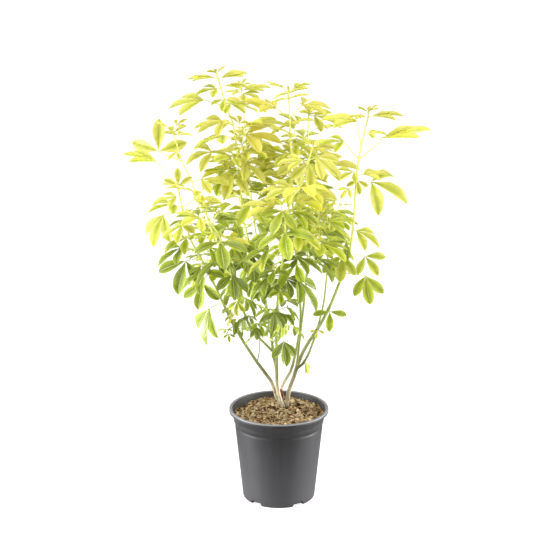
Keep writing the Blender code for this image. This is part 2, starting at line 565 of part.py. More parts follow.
def leaves_of(growth, curve, along, seed):
    """The leaves that a shoot bears, by its rule of growth, from the tip pair down.

    Young leaves by the tip are small and upright, full ones spread level, and low ones hang.
    """
    draw = random.Random(seed)
    distance, gap = TIP_DISTANCE, FIRST_GAP
    leaves = []
    for pair in range(growth["pairs"]):
        if pair in growth["bare"]:
            distance, gap = distance + gap, min(WIDEST_GAP, gap + GAP_GROWTH)
            continue
        root = point_on(curve, along, along[-1] - distance)
        age = min((pair + growth["age"]) / FULL_GROWN, 1.0)
        low = min(1.0, max(0.0, (HANGING_BELOW - root.z) / HANGING_OVER))
        turn = growth["twists"].get(pair, growth["turn"] + 90.0 * pair)
        for side in (0.0, 180.0):
            heading = turn + side + draw.uniform(-24.0, 24.0)
            leaves.append(dict(
                root=root,
                turn=heading,
                stalk_turn=heading,
                spread=draw.uniform(*SIDE_SPREADS),
                stalk=0.007 + 0.020 * age * draw.uniform(0.7, 1.5),
                stalk_pitch=60.0 - 28.0 * age - 40.0 * low + draw.uniform(-10.0, 10.0),
                length=LEAFLET * growth["leaf"] * (0.30 + 0.70 * age) * draw.uniform(0.84, 1.10),
                pitch=34.0 - 32.0 * age - 58.0 * low + draw.uniform(-13.0, 13.0),
                roll=draw.uniform(-22.0, 22.0),
                fold=draw.uniform(0.30, 0.50),
                droop=draw.uniform(0.06, 0.22)))
        distance += gap
        gap = min(WIDEST_GAP, gap + GAP_GROWTH)
    return leaves


def bent_clear(leaf):
    """The leaf as it grows, and then bent aside, up, down and smaller, the least change first."""
    for shrink in SHRINKS:
        for swing, lift in SWINGS:
            yield dict(leaf, turn=leaf["turn"] + swing, stalk_turn=leaf["stalk_turn"] + swing,
                       pitch=leaf["pitch"] + lift, stalk_pitch=leaf["stalk_pitch"] + lift,
                       length=leaf["length"] * shrink)


def fits(leaf, node, standing, grown):
    """Whether a leaf clears the stems and leaves so far; its stalk may meet its own stem's."""
    points, faces = leaf_solid(leaf, SPARE_ROOM)
    whole = BVHTree.FromPolygons(points, faces)
    blade = BVHTree.FromPolygons(points, faces[7:])
    for owner, tree in standing:
        if (blade if owner == node else whole).overlap(tree):
            return False
    for owner, other, other_whole, other_blade in grown:
        if (other["root"] - leaf["root"]).length > NEAR_ENOUGH_TO_TOUCH:
            continue
        if owner == node:
            if blade.overlap(other_whole) or whole.overlap(other_blade):
                return False
        elif whole.overlap(other_whole):
            return False
    return True


def every_leaf(shoots_of):
    """Every leaf with its node: first those placed by hand, and then those of each shoot's rule."""
    for node, shoots in STEMS.items():
        for growth, (curve, along, _) in zip(shoots, shoots_of[node]):
            for leaf in growth["placed"]:
                yield node, dict(leaf, root=point_on(curve, along, distance_at(curve, along, leaf["height"])))
    for number, (node, shoots) in enumerate(STEMS.items()):
        for i, growth in enumerate(shoots):
            curve, along, _ = shoots_of[node][i]
            for leaf in leaves_of(growth, curve, along, 100 * number + i):
                yield node, leaf


def grow_all():
    """The tubes of every stem, and its leaves, each bent clear of all that grew before it."""
    shoots_of = {node: [shoot_tube(growth, i == 0) for i, growth in enumerate(shoots)]
                 for node, shoots in STEMS.items()}
    standing = [(node, BVHTree.FromPolygons(*solid))
                for node, shoots in shoots_of.items() for curve, along, solid in shoots]
    grown = []
    for node, leaf in every_leaf(shoots_of):
        for choice in bent_clear(leaf):
            if fits(choice, node, standing, grown):
                points, faces = leaf_solid(choice)
                grown.append((node, choice, BVHTree.FromPolygons(points, faces),
                              BVHTree.FromPolygons(points, faces[7:])))
                break
    tubes = {node: [solid for curve, along, solid in shoots] for node, shoots in shoots_of.items()}
    leaves = {node: [leaf for owner, leaf, *_ in grown if owner == node] for node in STEMS}
    return tubes, leaves


def make_stems(bark, foliage):
    """The four leafy stems, each fused with its side shoots and leaves."""
    tubes, leaves = grow_all()
    for node in STEMS:
        solids = [add_object(node, mesh_from(node, *solid), bark, foliage) for solid in tubes[node]]
        for leaf in leaves[node]:
            blade = mesh_from(node + "_leaf", *leaf_solid(leaf), slot=1)
            solids.append(add_object(node + "_leaf", blade, bark, foliage))
        combine(solids[0], "UNION", solids[1:])


def main():
    start_empty()
    make_pot(material("pot plastic", POT_GREY, 0.45))
    make_soil(material("peat soil", SOIL_BROWN, 0.95))
    make_stems(material("green bark", BARK_GREEN, 0.6), material("golden leaf", LEAF_GREEN, 0.5))


main()
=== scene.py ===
"""The looks of a potted mexican orange: a golden-leaved Choisya in its soil and its nursery pot.

Metres, +Z up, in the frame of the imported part. The photograph looks along +Y, with +X to the right.
"""

import math
import random

import bmesh
import bpy
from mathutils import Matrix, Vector, noise
from mathutils.bvhtree import BVHTree


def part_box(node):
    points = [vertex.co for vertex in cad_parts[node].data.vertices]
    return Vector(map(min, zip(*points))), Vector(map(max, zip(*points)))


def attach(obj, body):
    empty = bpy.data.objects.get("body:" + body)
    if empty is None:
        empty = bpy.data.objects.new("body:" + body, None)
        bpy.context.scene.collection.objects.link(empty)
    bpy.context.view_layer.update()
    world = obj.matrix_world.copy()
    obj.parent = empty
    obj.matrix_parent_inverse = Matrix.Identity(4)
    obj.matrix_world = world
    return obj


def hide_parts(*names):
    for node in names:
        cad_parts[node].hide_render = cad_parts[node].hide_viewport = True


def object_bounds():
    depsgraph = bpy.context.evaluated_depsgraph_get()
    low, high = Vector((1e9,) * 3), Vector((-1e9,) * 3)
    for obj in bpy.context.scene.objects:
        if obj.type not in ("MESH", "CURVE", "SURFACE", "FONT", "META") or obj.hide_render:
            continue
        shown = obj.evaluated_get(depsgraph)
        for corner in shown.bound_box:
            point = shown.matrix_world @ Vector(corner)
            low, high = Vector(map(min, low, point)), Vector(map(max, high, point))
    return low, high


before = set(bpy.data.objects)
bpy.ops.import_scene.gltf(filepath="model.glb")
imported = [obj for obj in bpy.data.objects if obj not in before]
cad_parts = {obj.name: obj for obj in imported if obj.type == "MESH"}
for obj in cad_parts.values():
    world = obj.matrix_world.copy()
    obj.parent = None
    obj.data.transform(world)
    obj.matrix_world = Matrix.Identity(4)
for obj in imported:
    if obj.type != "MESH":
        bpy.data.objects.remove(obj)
cad_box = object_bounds()

# The studio: a white floor that runs out of sight, in a white room that is darker on the camera's
# side. Soft panels light the leaves from both sides, from above and from the front, and two low ones
# light the pot's sides. The camera stands where the photograph was taken from.
CAMERA_PLACE = (-0.0045, -2.80, 1.25)
CAMERA_PITCH = 16.156
SENSOR_WIDTH = 36.0
PHOTO_WIDTH = 553.0
FOCAL_LENGTH_IN_PIXELS = 1565.0
WHITE = (1.0, 1.0, 1.0, 1.0)
FLOOR_RADIUS = 30.0
FLOOR_SIDES = 96
FLOOR_WHITE = (0.52, 0.52, 0.52, 1.0)
FLOOR_GLOW = 0.72
# How bright the room is, how bright it is behind the camera, and where one turns into the other: -1 is
# straight behind the camera, and 0 is beside the plant.
ROOM_WHITE = 0.90
ROOM_FRONT = 0.27
ROOM_SHADE = (-0.95, 0.10)
# Each panel: where it stands round the plant (0 is the camera's side, 90 its right), how far away,
# how high, how wide and tall, and its power in watts. It faces the plant's axis, no higher than this.
AIM_HEIGHT = 0.45
PANELS = {
    "panel_left": (-80.0, 2.1, 1.05, (0.8, 1.9), 21.0),
    "panel_right": (96.0, 2.1, 0.90, (0.7, 1.9), 15.0),
    "panel_above": (-35.0, 1.0, 2.60, (1.4, 1.4), 27.0),
    "panel_front": (8.0, 2.2, 2.30, (1.8, 1.2), 32.0),
    "panel_low_left": (-76.0, 0.95, 0.14, (0.50, 0.26), 17.0),
    "panel_low_right": (84.0, 0.95, 0.14, (0.50, 0.26), 16.0),
}


def add_object(name, mesh, *finishes):
    """Put a mesh in the scene under a piece's name, with its finishes."""
    thing = bpy.data.objects.new(name, mesh)
    for finish in finishes:
        mesh.materials.append(finish)
    bpy.context.scene.collection.objects.link(thing)
    return thing


def new_finish(name):
    """A new procedural finish: the material, its node tree and its main shader."""
    finish = bpy.data.materials.new(name)
    finish.use_nodes = True
    return finish, finish.node_tree, finish.node_tree.nodes["Principled BSDF"]


def plug(tree, node, sockets):
    """Give a shader node's sockets, by name or number, their values or other nodes' outputs."""
    for name, value in sockets.items():
        if isinstance(value, bpy.types.NodeSocket):
            tree.links.new(value, node.inputs[name])
        else:
            node.inputs[name].default_value = value
    return node


def put(tree, kind, sockets=None, **settings):
    """Add a shader node with its settings and its sockets."""
    node = tree.nodes.new("ShaderNode" + kind)
    for name, value in settings.items():
        setattr(node, name, value)
    return plug(tree, node, sockets or {})


def reckon(tree, operation, first, second=0.0, third=0.0):
    """A sum on shader values."""
    return put(tree, "Math", {0: first, 1: second, 2: third}, operation=operation).outputs["Value"]


def remapped(tree, value, reach=(0.0, 1.0), ends=(0.0, 1.0), **settings):
    """A shader value as it goes along a reach, turned into one that goes between two ends."""
    node = put(tree, "MapRange", {"Value": value, "From Min": reach[0], "From Max": reach[1],
                                  "To Min": ends[0], "To Max": ends[1]}, **settings)
    return node.outputs["Result"]


def soft_panel(name, azimuth, distance, height, size, power):
    """A soft white panel that faces the plant."""
    lamp = bpy.data.lights.new(name, "AREA")
    lamp.shape = "RECTANGLE"
    lamp.size, lamp.size_y = size
    lamp.energy = power
    panel = bpy.data.objects.new(name, lamp)
    turn = math.radians(azimuth)
    panel.location = (distance * math.sin(turn), -distance * math.cos(turn), height)
    aim = Vector((0.0, 0.0, min(AIM_HEIGHT, height)))
    panel.rotation_euler = (aim - panel.location).to_track_quat("-Z", "Y").to_euler()
    panel.visible_camera = False
    bpy.context.scene.collection.objects.link(panel)


camera = bpy.data.objects.new("camera", bpy.data.cameras.new("camera"))
camera.data.sensor_width = SENSOR_WIDTH
camera.data.lens = FOCAL_LENGTH_IN_PIXELS * SENSOR_WIDTH / PHOTO_WIDTH
camera.location = CAMERA_PLACE
camera.rotation_euler = (math.radians(90.0 - CAMERA_PITCH), 0.0, 0.0)
bpy.context.scene.collection.objects.link(camera)
bpy.context.scene.camera = camera
bpy.context.scene.view_settings.view_transform = "Standard"

room = bpy.data.worlds.new("room")
room.use_nodes = True
tree = room.node_tree
aside = put(tree, "SeparateXYZ", {"Vector": put(tree, "TexCoord").outputs["Generated"]}).outputs["Y"]
walls = remapped(tree, aside, ROOM_SHADE, (ROOM_FRONT, ROOM_WHITE), interpolation_type="SMOOTHSTEP")
seen = put(tree, "LightPath").outputs["Is Camera Ray"]
plug(tree, tree.nodes["Background"], {"Color": WHITE, "Strength": reckon(tree, "MAXIMUM", walls, seen)})
bpy.context.scene.world = room

for panel_name, placing in PANELS.items():
    soft_panel(panel_name, *placing)

floor_paint, tree, shader = new_finish("matt white floor")
glow = reckon(tree, "MULTIPLY", put(tree, "LightPath").outputs["Is Camera Ray"], FLOOR_GLOW)
plug(tree, shader, {"Base Color": FLOOR_WHITE, "Emission Color": WHITE, "Emission Strength": glow,
                    "Roughness": 0.9, "Specular IOR Level": 0.1})
work = bmesh.new()
bmesh.ops.create_circle(work, cap_ends=True, segments=FLOOR_SIDES, radius=FLOOR_RADIUS)
floor_mesh = bpy.data.meshes.new("floor")
work.to_mesh(floor_mesh)
work.free()
floor = add_object("floor", floor_mesh, floor_paint)
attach(floor, "root")

# The pot: one thin moulding in dark grey polypropylene, turned about its axis. It has a flat floor, a
# tapered wall with a small step, a shoulder under a rolled lip, and five drainage notches that the
# mould cuts through its bottom edge.
POT_SIDES = 160
# The frame gives the pot's height and its radius over the lip, here to a tenth of a millimetre.
pot_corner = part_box("pot")[1]
POT_HEIGHT = round(pot_corner.z, 4)
RIM_RADIUS = round(pot_corner.x, 4)
LIP_WIDTH = 0.0058
LIP_DEPTH = 0.0060
LIP_SKIRT = 0.0016
SHOULDER_HEIGHT = 0.1600
SHOULDER_FOOT = 0.1535
SHOULDER_RADIUS = 0.0868
BAND_TOP = 0.1475
BAND_RADIUS = 0.0830
STEP_HEIGHT = 0.1435
STEP_RISE = 0.0010
BASE_RADIUS = 0.0688
WALL_SLOPE = 0.1045
FOOT_BEVEL = 0.0018
WALL = 0.0016
# Points nearer to each other than this are one, and no rounding takes up more of a side than this.
SEAM = 0.00001
MOST_OF_SIDE = 0.45
MOULD_ROUNDING = 0.0009
LIP_ROUNDING = 0.0015
NOTCHES = 5
NOTCH_TURN = -129.0
NOTCH_WIDTH = 0.0270
NOTCH_TOP_SHARE = 0.72
NOTCH_HEIGHT = 0.0080
NOTCH_ROUNDING = 0.002
NOTCH_REACH = (0.0578, 0.0748)
POT_CREASE = 38.0
POT_DARK = (0.0062, 0.0058, 0.0072)
# Worn grey, which also paints the floor's reflection at the foot.
POT_WORN_AND_REFLECTION = (0.056, 0.054, 0.058)
# The lip's pale top: wear, and a painted highlight where it catches the light.
POT_LIP_WEAR_AND_HIGHLIGHT = (0.225, 0.225, 0.240)
# Painted light that lifts the shade on the pot's inner wall.
POT_INSIDE_PAINTED_LIGHT = (0.100, 0.102, 0.104)
POT_DUST = (0.15, 0.13, 0.10)
# The plastic's patterns, each with its marks per metre, its detail and its roughness, the squeeze that
# draws the streaks out, how much of each shows, and the relief's strength and depth.
FLOW_STREAKS = (90.0, 4.0, 0.5)
DUST_PATCHES = (26.0, 5.0, 0.6)
SCUFFS = (210.0, 6.0, 0.7)
MOULD_GRAIN = (900.0, 2.0, 0.5)
STREAK_SQUEEZE = 0.06
STREAKED = 0.16
# How much of that painted light the inner wall gets.
INSIDE_PAINTED_LIGHT = 0.8
SCUFFED = 0.16
DUSTED = 0.07
POT_RELIEF = (0.08, 0.0006)
# Where the lip's wear and painted highlight start and are full, below the top, and how high and how
# strong the foot's painted floor reflection is.
LIP_WEAR_AND_HIGHLIGHT = (0.0022, 0.0006)
FOOT_REFLECTION_HEIGHT = 0.140
FOOT_PAINTED_REFLECTION = 0.82


def rounded(corners, radius, steps=4):
    """An outline of (radius, height) corners, with each inner corner rounded off."""
    corners = [Vector(corner) for corner in corners]
    outline = [corners[0]]
    for before, corner, after in zip(corners, corners[1:], corners[2:]):
        start, end = (corner + side.normalized() * min(radius, MOST_OF_SIDE * side.length)
                      for side in (before - corner, after - corner))
        for i in range(steps + 1):
            share = i / steps
            outline.append(start.lerp(corner, share).lerp(corner.lerp(end, share), share))
    return outline + [corners[-1]]


def turned(name, outline, sides):
    """A turned solid: an outline from the axis and back to it, spun about Z."""
    work = bmesh.new()
    corners = [work.verts.new((radius, 0.0, height)) for radius, height in outline]
    edges = [work.edges.new(pair) for pair in zip(corners, corners[1:])]
    bmesh.ops.spin(work, geom=corners + edges, cent=(0, 0, 0), axis=(0, 0, 1), angle=math.tau,
                   steps=sides, use_merge=True)
    bmesh.ops.remove_doubles(work, verts=work.verts, dist=SEAM)
    bmesh.ops.recalc_face_normals(work, faces=work.faces)
    mesh = bpy.data.meshes.new(name)
    work.to_mesh(mesh)
    work.free()
    return mesh


def smooth_edges(thing, angle):
    """Shade a piece smooth, and keep its edges above an angle sharp."""
    thing.data.shade_smooth()
    thing.data.set_sharp_from_angle(angle=math.radians(angle))


def wall_radius(height):
    """The outer radius of the pot's sloping wall at a height."""
    return BASE_RADIUS + WALL_SLOPE * height


def inner_wall():
    """The pot's inside as (radius, height) corners, from the floor up to the shoulder."""
    return [(BASE_RADIUS - WALL, WALL), (BAND_RADIUS - WALL, STEP_HEIGHT), (BAND_RADIUS - WALL, BAND_TOP),
            (SHOULDER_RADIUS - WALL, SHOULDER_HEIGHT - WALL)]


def pot_outline():
    """The pot's section, from the middle of its base, up its outside, over the lip and down its inside."""
    wall = [(BASE_RADIUS - FOOT_BEVEL, 0.0), (wall_radius(FOOT_BEVEL), FOOT_BEVEL),
            (wall_radius(STEP_HEIGHT), STEP_HEIGHT), (BAND_RADIUS, STEP_HEIGHT + STEP_RISE),
            (BAND_RADIUS, BAND_TOP), (SHOULDER_RADIUS - STEP_RISE, SHOULDER_FOOT),
            (SHOULDER_RADIUS, SHOULDER_HEIGHT)]
    bottom = POT_HEIGHT - LIP_DEPTH
    skirt_inside = RIM_RADIUS - LIP_SKIRT
    lip_inside = RIM_RADIUS - LIP_WIDTH
    lip = [(skirt_inside, POT_HEIGHT - 2 * LIP_SKIRT), (skirt_inside, bottom), (RIM_RADIUS, bottom),
           (RIM_RADIUS, POT_HEIGHT), (lip_inside, POT_HEIGHT), (lip_inside, POT_HEIGHT - 2 * LIP_SKIRT)]
    below = rounded([(0.0, 0.0)] + wall + lip[:2], MOULD_ROUNDING)
    crest = rounded(lip[1:], LIP_ROUNDING, steps=6)
    inside = rounded(lip[-2:] + inner_wall()[::-1] + [(0.0, WALL)], MOULD_ROUNDING)
    return below[:-1] + crest[:-1] + inside[1:]


def notch_cutter(turn):
    """One drainage notch, narrower at its top, that reaches in through the pot's bottom edge."""
    out = Vector((math.cos(math.radians(turn)), math.sin(math.radians(turn)), 0.0))
    side = Vector((-out.y, out.x, 0.0)) * (NOTCH_WIDTH / 2)
    section = rounded(((-1.0, -FOOT_BEVEL), (-NOTCH_TOP_SHARE, NOTCH_HEIGHT),
                       (NOTCH_TOP_SHARE, NOTCH_HEIGHT), (1.0, -FOOT_BEVEL)), NOTCH_ROUNDING)
    points = [out * reach + side * across + Vector((0, 0, height))
              for reach in NOTCH_REACH for across, height in section]
    count = len(section)
    faces = [tuple(range(count)), tuple(range(count, 2 * count))[::-1]]
    faces += [(i, i + count, (i + 1) % count + count, (i + 1) % count) for i in range(count)]
    mesh = bpy.data.meshes.new("notch")
    mesh.from_pydata([tuple(point) for point in points], [], faces)
    return add_object("notch", mesh)


def cut_out(thing, cutters):
    """Cut the cutters out of a piece, and remove them."""
    tools = bpy.data.collections.new("cutters")
    bpy.context.scene.collection.children.link(tools)
    for cutter in cutters:
        bpy.context.scene.collection.objects.unlink(cutter)
        tools.objects.link(cutter)
    cut = thing.modifiers.new("cut", "BOOLEAN")
    cut.operation = "DIFFERENCE"
    cut.operand_type = "COLLECTION"
    cut.collection = tools
    result = bpy.data.meshes.new_from_object(thing.evaluated_get(bpy.context.evaluated_depsgraph_get()))
    thing.modifiers.clear()
    thing.data = result
    for cutter in cutters:
        bpy.data.objects.remove(cutter)
    bpy.data.collections.remove(tools)


def ramp(tree, factor, *stops):
    """A colour ramp's output: each stop is its place and its colour, or one number for a grey."""
    node = put(tree, "ValToRGB", {"Fac": factor})
    steps = node.color_ramp.elements
    while len(steps) < len(stops):
        steps.new(1.0)
    for step, (place, colour) in zip(steps, stops):
        step.position = place
        step.color = (*colour, 1.0) if isinstance(colour, tuple) else (colour, colour, colour, 1.0)
    return node.outputs["Color"]


def mixed(tree, factor, first, second, blend="MIX"):
    """Two colours mixed by a factor."""
    first, second = ((*colour, 1.0) if isinstance(colour, tuple) else colour for colour in (first, second))
    return put(tree, "Mix", {0: factor, 6: first, 7: second}, data_type="RGBA", blend_type=blend).outputs[2]


def coated(tree, colour, *coats):
    """A colour under several coats, each with its share and its own colour."""
    for share, coat in coats:
        colour = mixed(tree, share, colour, coat)
    return colour


def grain(tree, place, scale, detail, roughness):
    """A noise pattern's value at a place."""
    return put(tree, "TexNoise", {"Vector": place, "Scale": scale, "Detail": detail,
                                  "Roughness": roughness}).outputs["Fac"]


def drawn_out(tree, place, squeeze):
    """A place squeezed in height, so that a pattern on it is drawn out upwards."""
    return put(tree, "Mapping", {"Vector": place, "Scale": (1.0, 1.0, squeeze)}).outputs["Vector"]


def scaled(tree, value, factor):
    """A shader value times a number or another value."""
    return reckon(tree, "MULTIPLY", value, factor)


def added(tree, first, second):
    """Two shader values added up."""
    return reckon(tree, "ADD", first, second)


def relief(tree, height, strength, distance):
    """The bumps of a surface whose height a pattern gives."""
    return put(tree, "Bump", {"Height": height, "Strength": strength, "Distance": distance}).outputs["Normal"]


def mark(tree, name):
    """The number that a mesh holds under a name, for each of its points or faces."""
    return put(tree, "Attribute", attribute_name=name).outputs["Fac"]


def point_marks(mesh, **marks):
    """Give each point of a mesh its numbers, which a finish reads by their name."""
    for name, values in marks.items():
        mesh.attributes.new(name, "FLOAT", "POINT").data.foreach_set("value", values)


def is_inside(point):
    """One for a point on the pot's inner wall, and none for one on its outside."""
    corners = inner_wall() + [(RIM_RADIUS - LIP_WIDTH, POT_HEIGHT - LIP_SKIRT)]
    for (near, low), (far, high) in zip(corners, corners[1:]):
        if low <= point.z <= high:
            wall = near + (far - near) * (point.z - low) / (high - low)
            return 1.0 if point.xy.length < wall + WALL / 2 else 0.0
    return 0.0


def pot_plastic():
    """Satin dark plastic: flow streaks and mould grain, a little dusty. Its lip is worn lighter and has a
    painted highlight, its inner wall has painted light, and its foot a painted floor reflection.
    """
    finish, tree, shader = new_finish("dark grey polypropylene")
    place = put(tree, "TexCoord").outputs["Object"]
    height = put(tree, "SeparateXYZ", {"Vector": place}).outputs["Z"]
    streaks = grain(tree, drawn_out(tree, place, STREAK_SQUEEZE), *FLOW_STREAKS)
    patches = grain(tree, place, *DUST_PATCHES)
    fine = grain(tree, place, *MOULD_GRAIN)
    scuffs = ramp(tree, grain(tree, place, *SCUFFS), (0.60, 0.0), (0.72, 1.0))
    dust = ramp(tree, patches, (0.55, 0.0), (0.80, 1.0))
    colour = mixed(tree, ramp(tree, streaks, (0.35, 0.0), (0.75, STREAKED)), POT_DARK, POT_WORN_AND_REFLECTION)
    colour = coated(tree, colour,
                    # wear and a painted highlight on the lip
                    (remapped(tree, height, [POT_HEIGHT - depth for depth in LIP_WEAR_AND_HIGHLIGHT]), POT_LIP_WEAR_AND_HIGHLIGHT),
                    # painted light on the inner wall, against its shade
                    (scaled(tree, mark(tree, "inside"), INSIDE_PAINTED_LIGHT), POT_INSIDE_PAINTED_LIGHT),
                    # painted floor reflection: lighter towards the foot
                    (remapped(tree, height, (FOOT_REFLECTION_HEIGHT, 0.0), (0.0, FOOT_PAINTED_REFLECTION)), POT_WORN_AND_REFLECTION),
                    (scaled(tree, scuffs, SCUFFED), POT_WORN_AND_REFLECTION),
                    (scaled(tree, dust, DUSTED), POT_DUST))
    bumps = added(tree, scaled(tree, fine, 0.5), scaled(tree, streaks, 0.5))
    plug(tree, shader, {"Base Color": colour, "Specular IOR Level": 0.40,
                        "Roughness": ramp(tree, patches, (0.30, 0.48), (0.75, 0.60)),
                        "Normal": relief(tree, bumps, *POT_RELIEF)})
    return finish


pot = add_object("nursery_pot", turned("nursery_pot", pot_outline(), POT_SIDES), pot_plastic())
cut_out(pot, [notch_cutter(NOTCH_TURN + 360.0 / NOTCHES * i) for i in range(NOTCHES)])
point_marks(pot.data, inside=[is_inside(point.co) for point in pot.data.vertices])
smooth_edges(pot, POT_CREASE)
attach(pot, "root")
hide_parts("pot")

# The soil: peat and coir that fill the pot to some 13 mm under its rim, mounded round the plant. Its
# surface is rough, and loose crumbs, flakes of bark and coir fibres lie on it.
CLEARANCE = 0.0003
SOIL_EDGE = 0.1660
SOIL_CROWN = 0.1715
CROWN_CENTRE = (0.005, 0.036)
SOIL_SIDES = 150
SOIL_RINGS = 46
# The surface's lumps: how many to a metre, how high they rise, and their slice of the noise.
SOIL_LUMPS = ((60.0, 0.0026, 0.0), (130.0, 0.0024, 1.3), (320.0, 0.0015, 3.2), (800.0, 0.0007, 8.0))
SUNK_PLACE = (-0.060, 0.042)
SUNK_WIDTH = 0.026
SUNK_DEPTH = 0.0050
# The soil's foot: the radius of its flat part, the radius where it meets the pot, and how high that is.
SOIL_FOOT = (0.0550, 0.0665, 0.0105)
SOIL_CREASE = 70.0
# Dark peat, which also paints the shade low in the pot.
PEAT_DARK_AND_SHADE = (0.040, 0.018, 0.007)
PEAT_BROWN = (0.235, 0.118, 0.046)
PEAT_TAN = (0.465, 0.300, 0.138)
COIR_PALE = (0.69, 0.56, 0.34)
# The peat's patterns, and how much of its lumps and its grain is in the bed's tone, of a loose bit's
# own mark and grain in that bit's, and of the clods in both. The bed is painted into shade between
# two depths below its edge, low in the pot.
CLODS = (75.0, 3.0, 0.5)
PEAT_LUMPS = (130.0, 6.0, 0.65)
PEAT_GRAIN = (900.0, 5.0, 0.7)
PEAT_RELIEF = (0.8, 0.0009)
BED_TONE = (0.62, 0.38)
LOOSE_TONE = (0.75, 0.30)
CLOD_TONE = 0.80
PAINTED_SHADE_DEPTHS = (0.030, 0.010)
SOIL_SEED = 31
CRUMBS = 2100
CRUMB_SIZES = (0.0006, 0.0036)
MOSTLY_SMALL = 3
CRUMB_FLATNESS = 0.8
FLAKES = 80
FLAKE_SIZES = (0.0030, 0.0085)
FLAKE_FLATNESS = 0.3
# A crumb's or flake's length and width for its size, how far it leans, and how broken its faces are.
BIT_LENGTHS = (0.9, 1.5)
BIT_WIDTHS = (0.6, 1.0)
BIT_LEAN = 0.35
BIT_BROKEN = 0.55
BIT_FACETS = 1.3
SHAPES_APART = 50.0
FIBRES = 1600
FIBRE_LENGTHS = (0.006, 0.028)
MOSTLY_SHORT = 2
FIBRE_RADIUS = 0.00032
FIBRE_THICKNESSES = (0.6, 2.0)
FIBRE_JOINTS = 7
FIBRE_SIDES = 3
FIBRE_TAPER = 0.5
FIBRE_BEND = 0.5
FIBRE_WOBBLE = 0.25
FIBRE_LIFTS = (0.001, 0.005)
FIBRE_CLEAR = 0.0002
# A fibre bridges a hollow that falls away by more than this from one joint to the next.
FIBRE_DIP = 0.0008


def soil_height(x, y):
    """The soil's surface: mounded round the plant, sunk at the back left, with lumps of all sizes."""
    away = math.hypot(x - CROWN_CENTRE[0], y - CROWN_CENTRE[1]) / RIM_RADIUS
    height = SOIL_EDGE + (SOIL_CROWN - SOIL_EDGE) * max(0.0, 1.0 - away)
    height -= SUNK_DEPTH * math.exp(-((Vector((x, y)) - Vector(SUNK_PLACE)).length / SUNK_WIDTH) ** 2)
    for per_metre, rise, level in SOIL_LUMPS:
        height += rise * noise.noise(Vector((x, y, level)) * per_metre)
    return height


def soil_mesh():
    """The soil as one body: its rough surface, its sides, and a root ball's rounded foot in the pot."""
    sides = [(radius - CLEARANCE, height) for radius, height in inner_wall()]
    floor_height = WALL + CLEARANCE
    foot_inside, foot_outside, foot_top = SOIL_FOOT
    sides[0] = (foot_outside, foot_top)
    sides.insert(0, (foot_inside, floor_height))
    edge = sides[-1][0] + STEP_RISE
    rings = [edge * (1.0 - (i / SOIL_RINGS)) for i in range(SOIL_RINGS)]
    outline = [(0.0, floor_height)] + sides + [(ring, SOIL_EDGE) for ring in rings] + [(0.0, SOIL_EDGE)]
    mesh = turned("soil_bed", outline, SOIL_SIDES)
    for point in mesh.vertices:
        if math.isclose(point.co.z, SOIL_EDGE, abs_tol=SEAM):
            point.co.z = soil_height(point.co.x, point.co.y)
    return mesh


def on_soil(draw):
    """A place on the soil's surface, as even all over as rain."""
    reach = (BAND_RADIUS - WALL) * math.sqrt(draw.random())
    turn = draw.uniform(0.0, math.tau)
    x, y = reach * math.cos(turn), reach * math.sin(turn)
    return Vector((x, y, soil_height(x, y)))


class Gathered:
    """The bodies of one piece as they are gathered, with the marks that its finishes read."""

    def __init__(self, *names):
        self.points = []
        self.faces = []
        self.slots = []
        self.underside = []
        self.marks = {name: [] for name in names}

    def add(self, points, faces, slot=0, underside=None, **marks):
        """Add a closed body; each mark is one number, or one for each point."""
        first = len(self.points)
        self.points += points
        self.faces += [tuple(first + number for number in face) for face in faces]
        self.slots += [slot] * len(faces)
        self.underside += underside or [0.0] * len(faces)
        for name, held in self.marks.items():
            value = marks.get(name, 0.0)
            held += value if isinstance(value, list) else [value] * len(points)

    def mesh(self, name):
        """The gathered mesh, with the few leaf tips that would reach past the solids' box drawn in."""
        low, high = cad_box
        points = [tuple(min(high[i], max(low[i], point[i])) for i in range(3)) for point in self.points]
        mesh = bpy.data.meshes.new(name)
        mesh.from_pydata(points, [], self.faces)
        mesh.polygons.foreach_set("material_index", self.slots)
        point_marks(mesh, **self.marks)
        if any(self.underside):
            mesh.attributes.new("underside", "FLOAT", "FACE").data.foreach_set("value", self.underside)
        return mesh


def between(draw, ends, power):
    """A number between two ends, more often near the first the higher the power."""
    return ends[0] + (ends[1] - ends[0]) * draw.random() ** power


def scattered_crumbs(count, sizes, flatness, seed):
    """Loose bits with broken faces, turned at random and half sunk in the soil."""
    draw = random.Random(seed)
    work = bmesh.new()
    bmesh.ops.create_icosphere(work, subdivisions=1, radius=1.0)
    ball = [point.co.copy() for point in work.verts]
    ball_faces = [tuple(point.index for point in face.verts) for face in work.faces]
    work.free()
    gathered = Gathered("tone")
    for _ in range(count):
        place = on_soil(draw)
        size = between(draw, sizes, MOSTLY_SMALL)
        tilt = Vector((draw.gauss(0.0, BIT_LEAN), draw.gauss(0.0, BIT_LEAN), 1.0)).normalized()
        across = tilt.orthogonal().normalized()
        other = tilt.cross(across)
        spin = draw.uniform(0.0, math.tau)
        across, other = (across * math.cos(spin) + other * math.sin(spin),
                         other * math.cos(spin) - across * math.sin(spin))
        long, wide = size * draw.uniform(*BIT_LENGTHS), size * draw.uniform(*BIT_WIDTHS)
        shape = Vector((draw.random(), draw.random(), draw.random())) * SHAPES_APART
        points = []
        for corner in ball:
            bulge = 1.0 + BIT_BROKEN * noise.noise(corner * BIT_FACETS + shape)
            points.append(place + (across * (corner.x * long) + other * (corner.y * wide)
                                   + tilt * (corner.z * (size * flatness))) * bulge)
        gathered.add(points, ball_faces, tone=draw.random())
    return gathered


# A way that no tube starts in, to turn its first ring from.
FIRST_ACROSS = (0.83, 0.55, 0.11)


